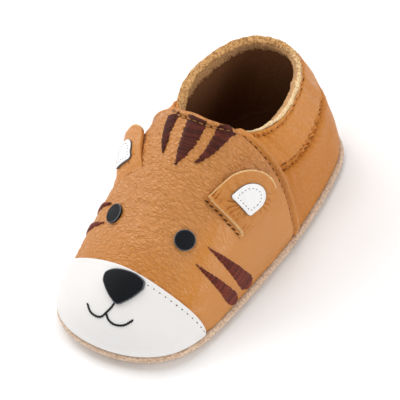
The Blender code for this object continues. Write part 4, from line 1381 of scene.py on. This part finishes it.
def makeStitches(s):
    sewn = {row: ([], []) for row in stitchPieces}

    def sew(row, u, v, rise, thread, hole):
        for kept, made in zip(sewn[row], stitchRow(u, v, rise, thread, hole)):
            kept.extend(made)

    # hem of the vamp: up the back edge on both sides, then round the throat
    for sign in (1, -1):
        v = np.linspace(*s["hemHeights"])
        u = sign * stepU(vampEdgeAt(v), v, -vampSet["stitchInset"])
        keep = v < belowRim(np.abs(u), vampSet["throatInset"] + s["hemGap"])
        u, v = u[keep], v[keep]
        sew("seam", u, v, vampRise(u, v, vampSet) + s["onLeather"], seamThread, seamHole)
    u = np.linspace(*s["throatSections"])
    v = belowRim(u, vampSet["throatInset"])
    sew("gather", u, v, vampRise(u, v, vampSet) + s["onThroat"], throatThread, throatHole)
    # the two gathering rows and the row under the collar's rim
    u = np.linspace(*s["gatherSections"])
    seam = np.full(u.shape, last["collarSeam"])
    for v in (stepV(u, seam, -quarterSet["seamHalf"]), stepV(u, seam, quarterSet["seamHalf"]),
              belowRim(u, quarterSet["rimRow"])):
        sew("gather", u, v, quarterRise(u, v, quarterSet) + s["onLeather"], gatherThread, gatherHole)
    # toe cap: white thread, its holes fainter on the inner side
    inner, outer = (end * s["capShare"] for end in capEnds)
    level = capSet["base"] + capSet["thickness"] - s["inCap"]
    for start, end, hole in ((s["capMiddle"], outer, capHole), (inner, s["capMiddle"], capHoleFaint)):
        u = np.linspace(start, end, s["capPoints"])
        v = stepV(u, capBoundary(u), -capSet["stitchInset"])
        sew("cap", u, v, np.full(u.shape, level), capThread, hole)
    for row, (threadName, threadFinish, slot, holeName, holeFinish) in stitchPieces.items():
        threads, holes = sewn[row]
        addPiece(threadName, joinGrids(threads, closed=True), [threadFinish])
        addPiece(holeName, joinGrids(holes, closed=True), [holeFinish])


makeStitches(stitchPlaces)

earThread = {"pitch": 2.1, "length": 1.6, "width": 0.45, "ends": (0.9, 0.6), "ahead": 0.15, "stray": 0.08,
             "level": 0.35, "slant": 0.25, "headingStep": 0.1}
liningThread = {"pitch": 1.15, "length": 0.55, "width": 0.30, "inset": 1.5, "lift": 0.1, "pathPoints": 400}


def makeEarStitches(side, ear, thread):
    across = np.arange(-earSet["width"] / 2 + thread["ends"][0], earSet["width"] / 2 - thread["ends"][1],
                       thread["pitch"])
    ahead = thread["ahead"] + thread["stray"] * dice.uniform(-1, 1, len(across))
    spots, normals = earSheet(ear, across, ahead, thread["level"], earSet)
    along = unit(earSheet(ear, across + thread["headingStep"], ahead, thread["level"], earSet)[0] - spots)
    grids = capsules(spots, along, normals, thread, thread["slant"])
    # the sewn edge's stitches are dark dashes: painted shade
    addPiece(f"earStitches_{side}", joinGrids(grids, closed=True), ["darkStitchShade"])


def makeLiningStitches(side, ear, thread):
    inset = 1 - 2 * thread["inset"] / earLiningSet["width"]
    path = scaledOutline(flapOutline(earLiningSet, ear["liningStart"], thread["pathPoints"]), inset).T
    run = runAlong(path)
    across, ahead = spotsAt(np.arange(0, run[-1], thread["pitch"]), run, path).T
    level = earSet["thickness"] + earLiningSet["thickness"] + thread["lift"]
    above = level + earRelief(ear, across, ahead, earSet, False)
    spots, normals = earSheet(ear, across, ahead, above, earSet)
    along = unit(np.roll(spots, -1, axis=0) - np.roll(spots, 1, axis=0))
    grids = capsules(spots, along, normals, thread)
    addPiece(f"earLiningStitches_{side}", joinGrids(grids, closed=True), ["greyThread"])


for earSide, earValues in earSet["ears"].items():
    if earValues["ridge"]:              # the other ear's row is hidden in its crease
        makeEarStitches(earSide, earValues, earThread)
    makeLiningStitches(earSide, earValues, liningThread)

mouthSet = {
    "pitch": 0.95, "length": 1.5, "width": 0.7, "height": 0.6, "slant": 0.32, "rise": 1.05, "points": 120,
    "lines": {  # places on the upper
        "philtrum": ((0.06, 0.302), (0.035, 0.268), (-0.01, 0.236)),
        "inner": ((-0.01, 0.236), (-0.05, 0.212), (-0.12, 0.203), (-0.22, 0.212), (-0.30, 0.240)),
        "outer": ((-0.01, 0.236), (0.05, 0.208), (0.14, 0.196), (0.25, 0.207), (0.34, 0.240)),
    },
}


def makeMouth(s):
    grids = []
    for line in s["lines"].values():
        u, v = smoothPath(line, s["points"]).T
        spots, ahead, normals = pathOn(u, v, np.full(u.shape, s["rise"]), s["pitch"])
        grids += capsules(spots, ahead, normals, s, s["slant"])
    addPiece("mouthEmbroidery", joinGrids(grids, closed=True), ["blackThread"])


makeMouth(mouthSet)
print("stitches made")

# floor, soft boxes and an even sky
studioSet = {
    "floorHalf": 1.5, "floorTones": ((0.96, 0.96, 0.96), (0.98, 0.98, 0.98)), "floorScale": 30.0,
    "floorRoughness": 0.9, "floorSpecular": 0.1,
    "sky": (1.0, 1.0, 1.0, 1.0), "skyStrength": 0.24, "aim": (0, 0, 0.025),
    "boxes": {  # place, size, watts, seen in the gloss
        "topBox": ((-0.25, 0.30, 1.00), 0.8, 6.2, True),
        "innerBox": ((-0.85, 0.0, 0.60), 0.8, 5.2, True),
        "toeBox": ((0.10, -0.95, 0.60), 0.7, 3.8, False),
        "outerBox": ((0.88, 0.16, 0.46), 0.6, 4.0, True),
    },
}


def makeFloor(s):
    tree, shader, place = newMaterial("floorPaper", {"Roughness": s["floorRoughness"],
                                                     "Specular IOR Level": s["floorSpecular"]})
    paper = noiseNode(tree, place, s["floorScale"])["Fac"]
    setSocket(tree, shader.inputs["Base Color"], mixColour(tree, paper, *s["floorTones"]))
    size = s["floorHalf"]
    mesh = bpy.data.meshes.new("floor")
    corners = [(-size, -size, 0), (size, -size, 0), (size, size, 0), (-size, size, 0)]
    mesh.from_pydata(corners, [], [(0, 1, 2, 3)])
    mesh.materials.append(finishes["floorPaper"])
    floor = bpy.data.objects.new("floor", mesh)
    bpy.context.scene.collection.objects.link(floor)


def makeLight(s):
    world = bpy.data.worlds.new("studio")
    world.use_nodes = True
    sky = world.node_tree.nodes["Background"]
    sky.inputs["Color"].default_value = s["sky"]
    sky.inputs["Strength"].default_value = s["skyStrength"]
    bpy.context.scene.world = world
    for name, (place, width, watts, inGloss) in s["boxes"].items():
        lamp = bpy.data.lights.new(name, "AREA")
        lamp.shape = "SQUARE"
        lamp.size = width
        lamp.energy = watts
        box = bpy.data.objects.new(name, lamp)
        away = unit(np.array(place) - np.array(s["aim"]))
        side = unit(np.cross(up, away))
        box.matrix_world = axesMatrix(side, np.cross(away, side), away, place)
        box.visible_glossy = inGloss
        bpy.context.scene.collection.objects.link(box)
    bpy.context.scene.view_settings.view_transform = "Standard"


makeFloor(studioSet)
makeLight(studioSet)
print("studio made")
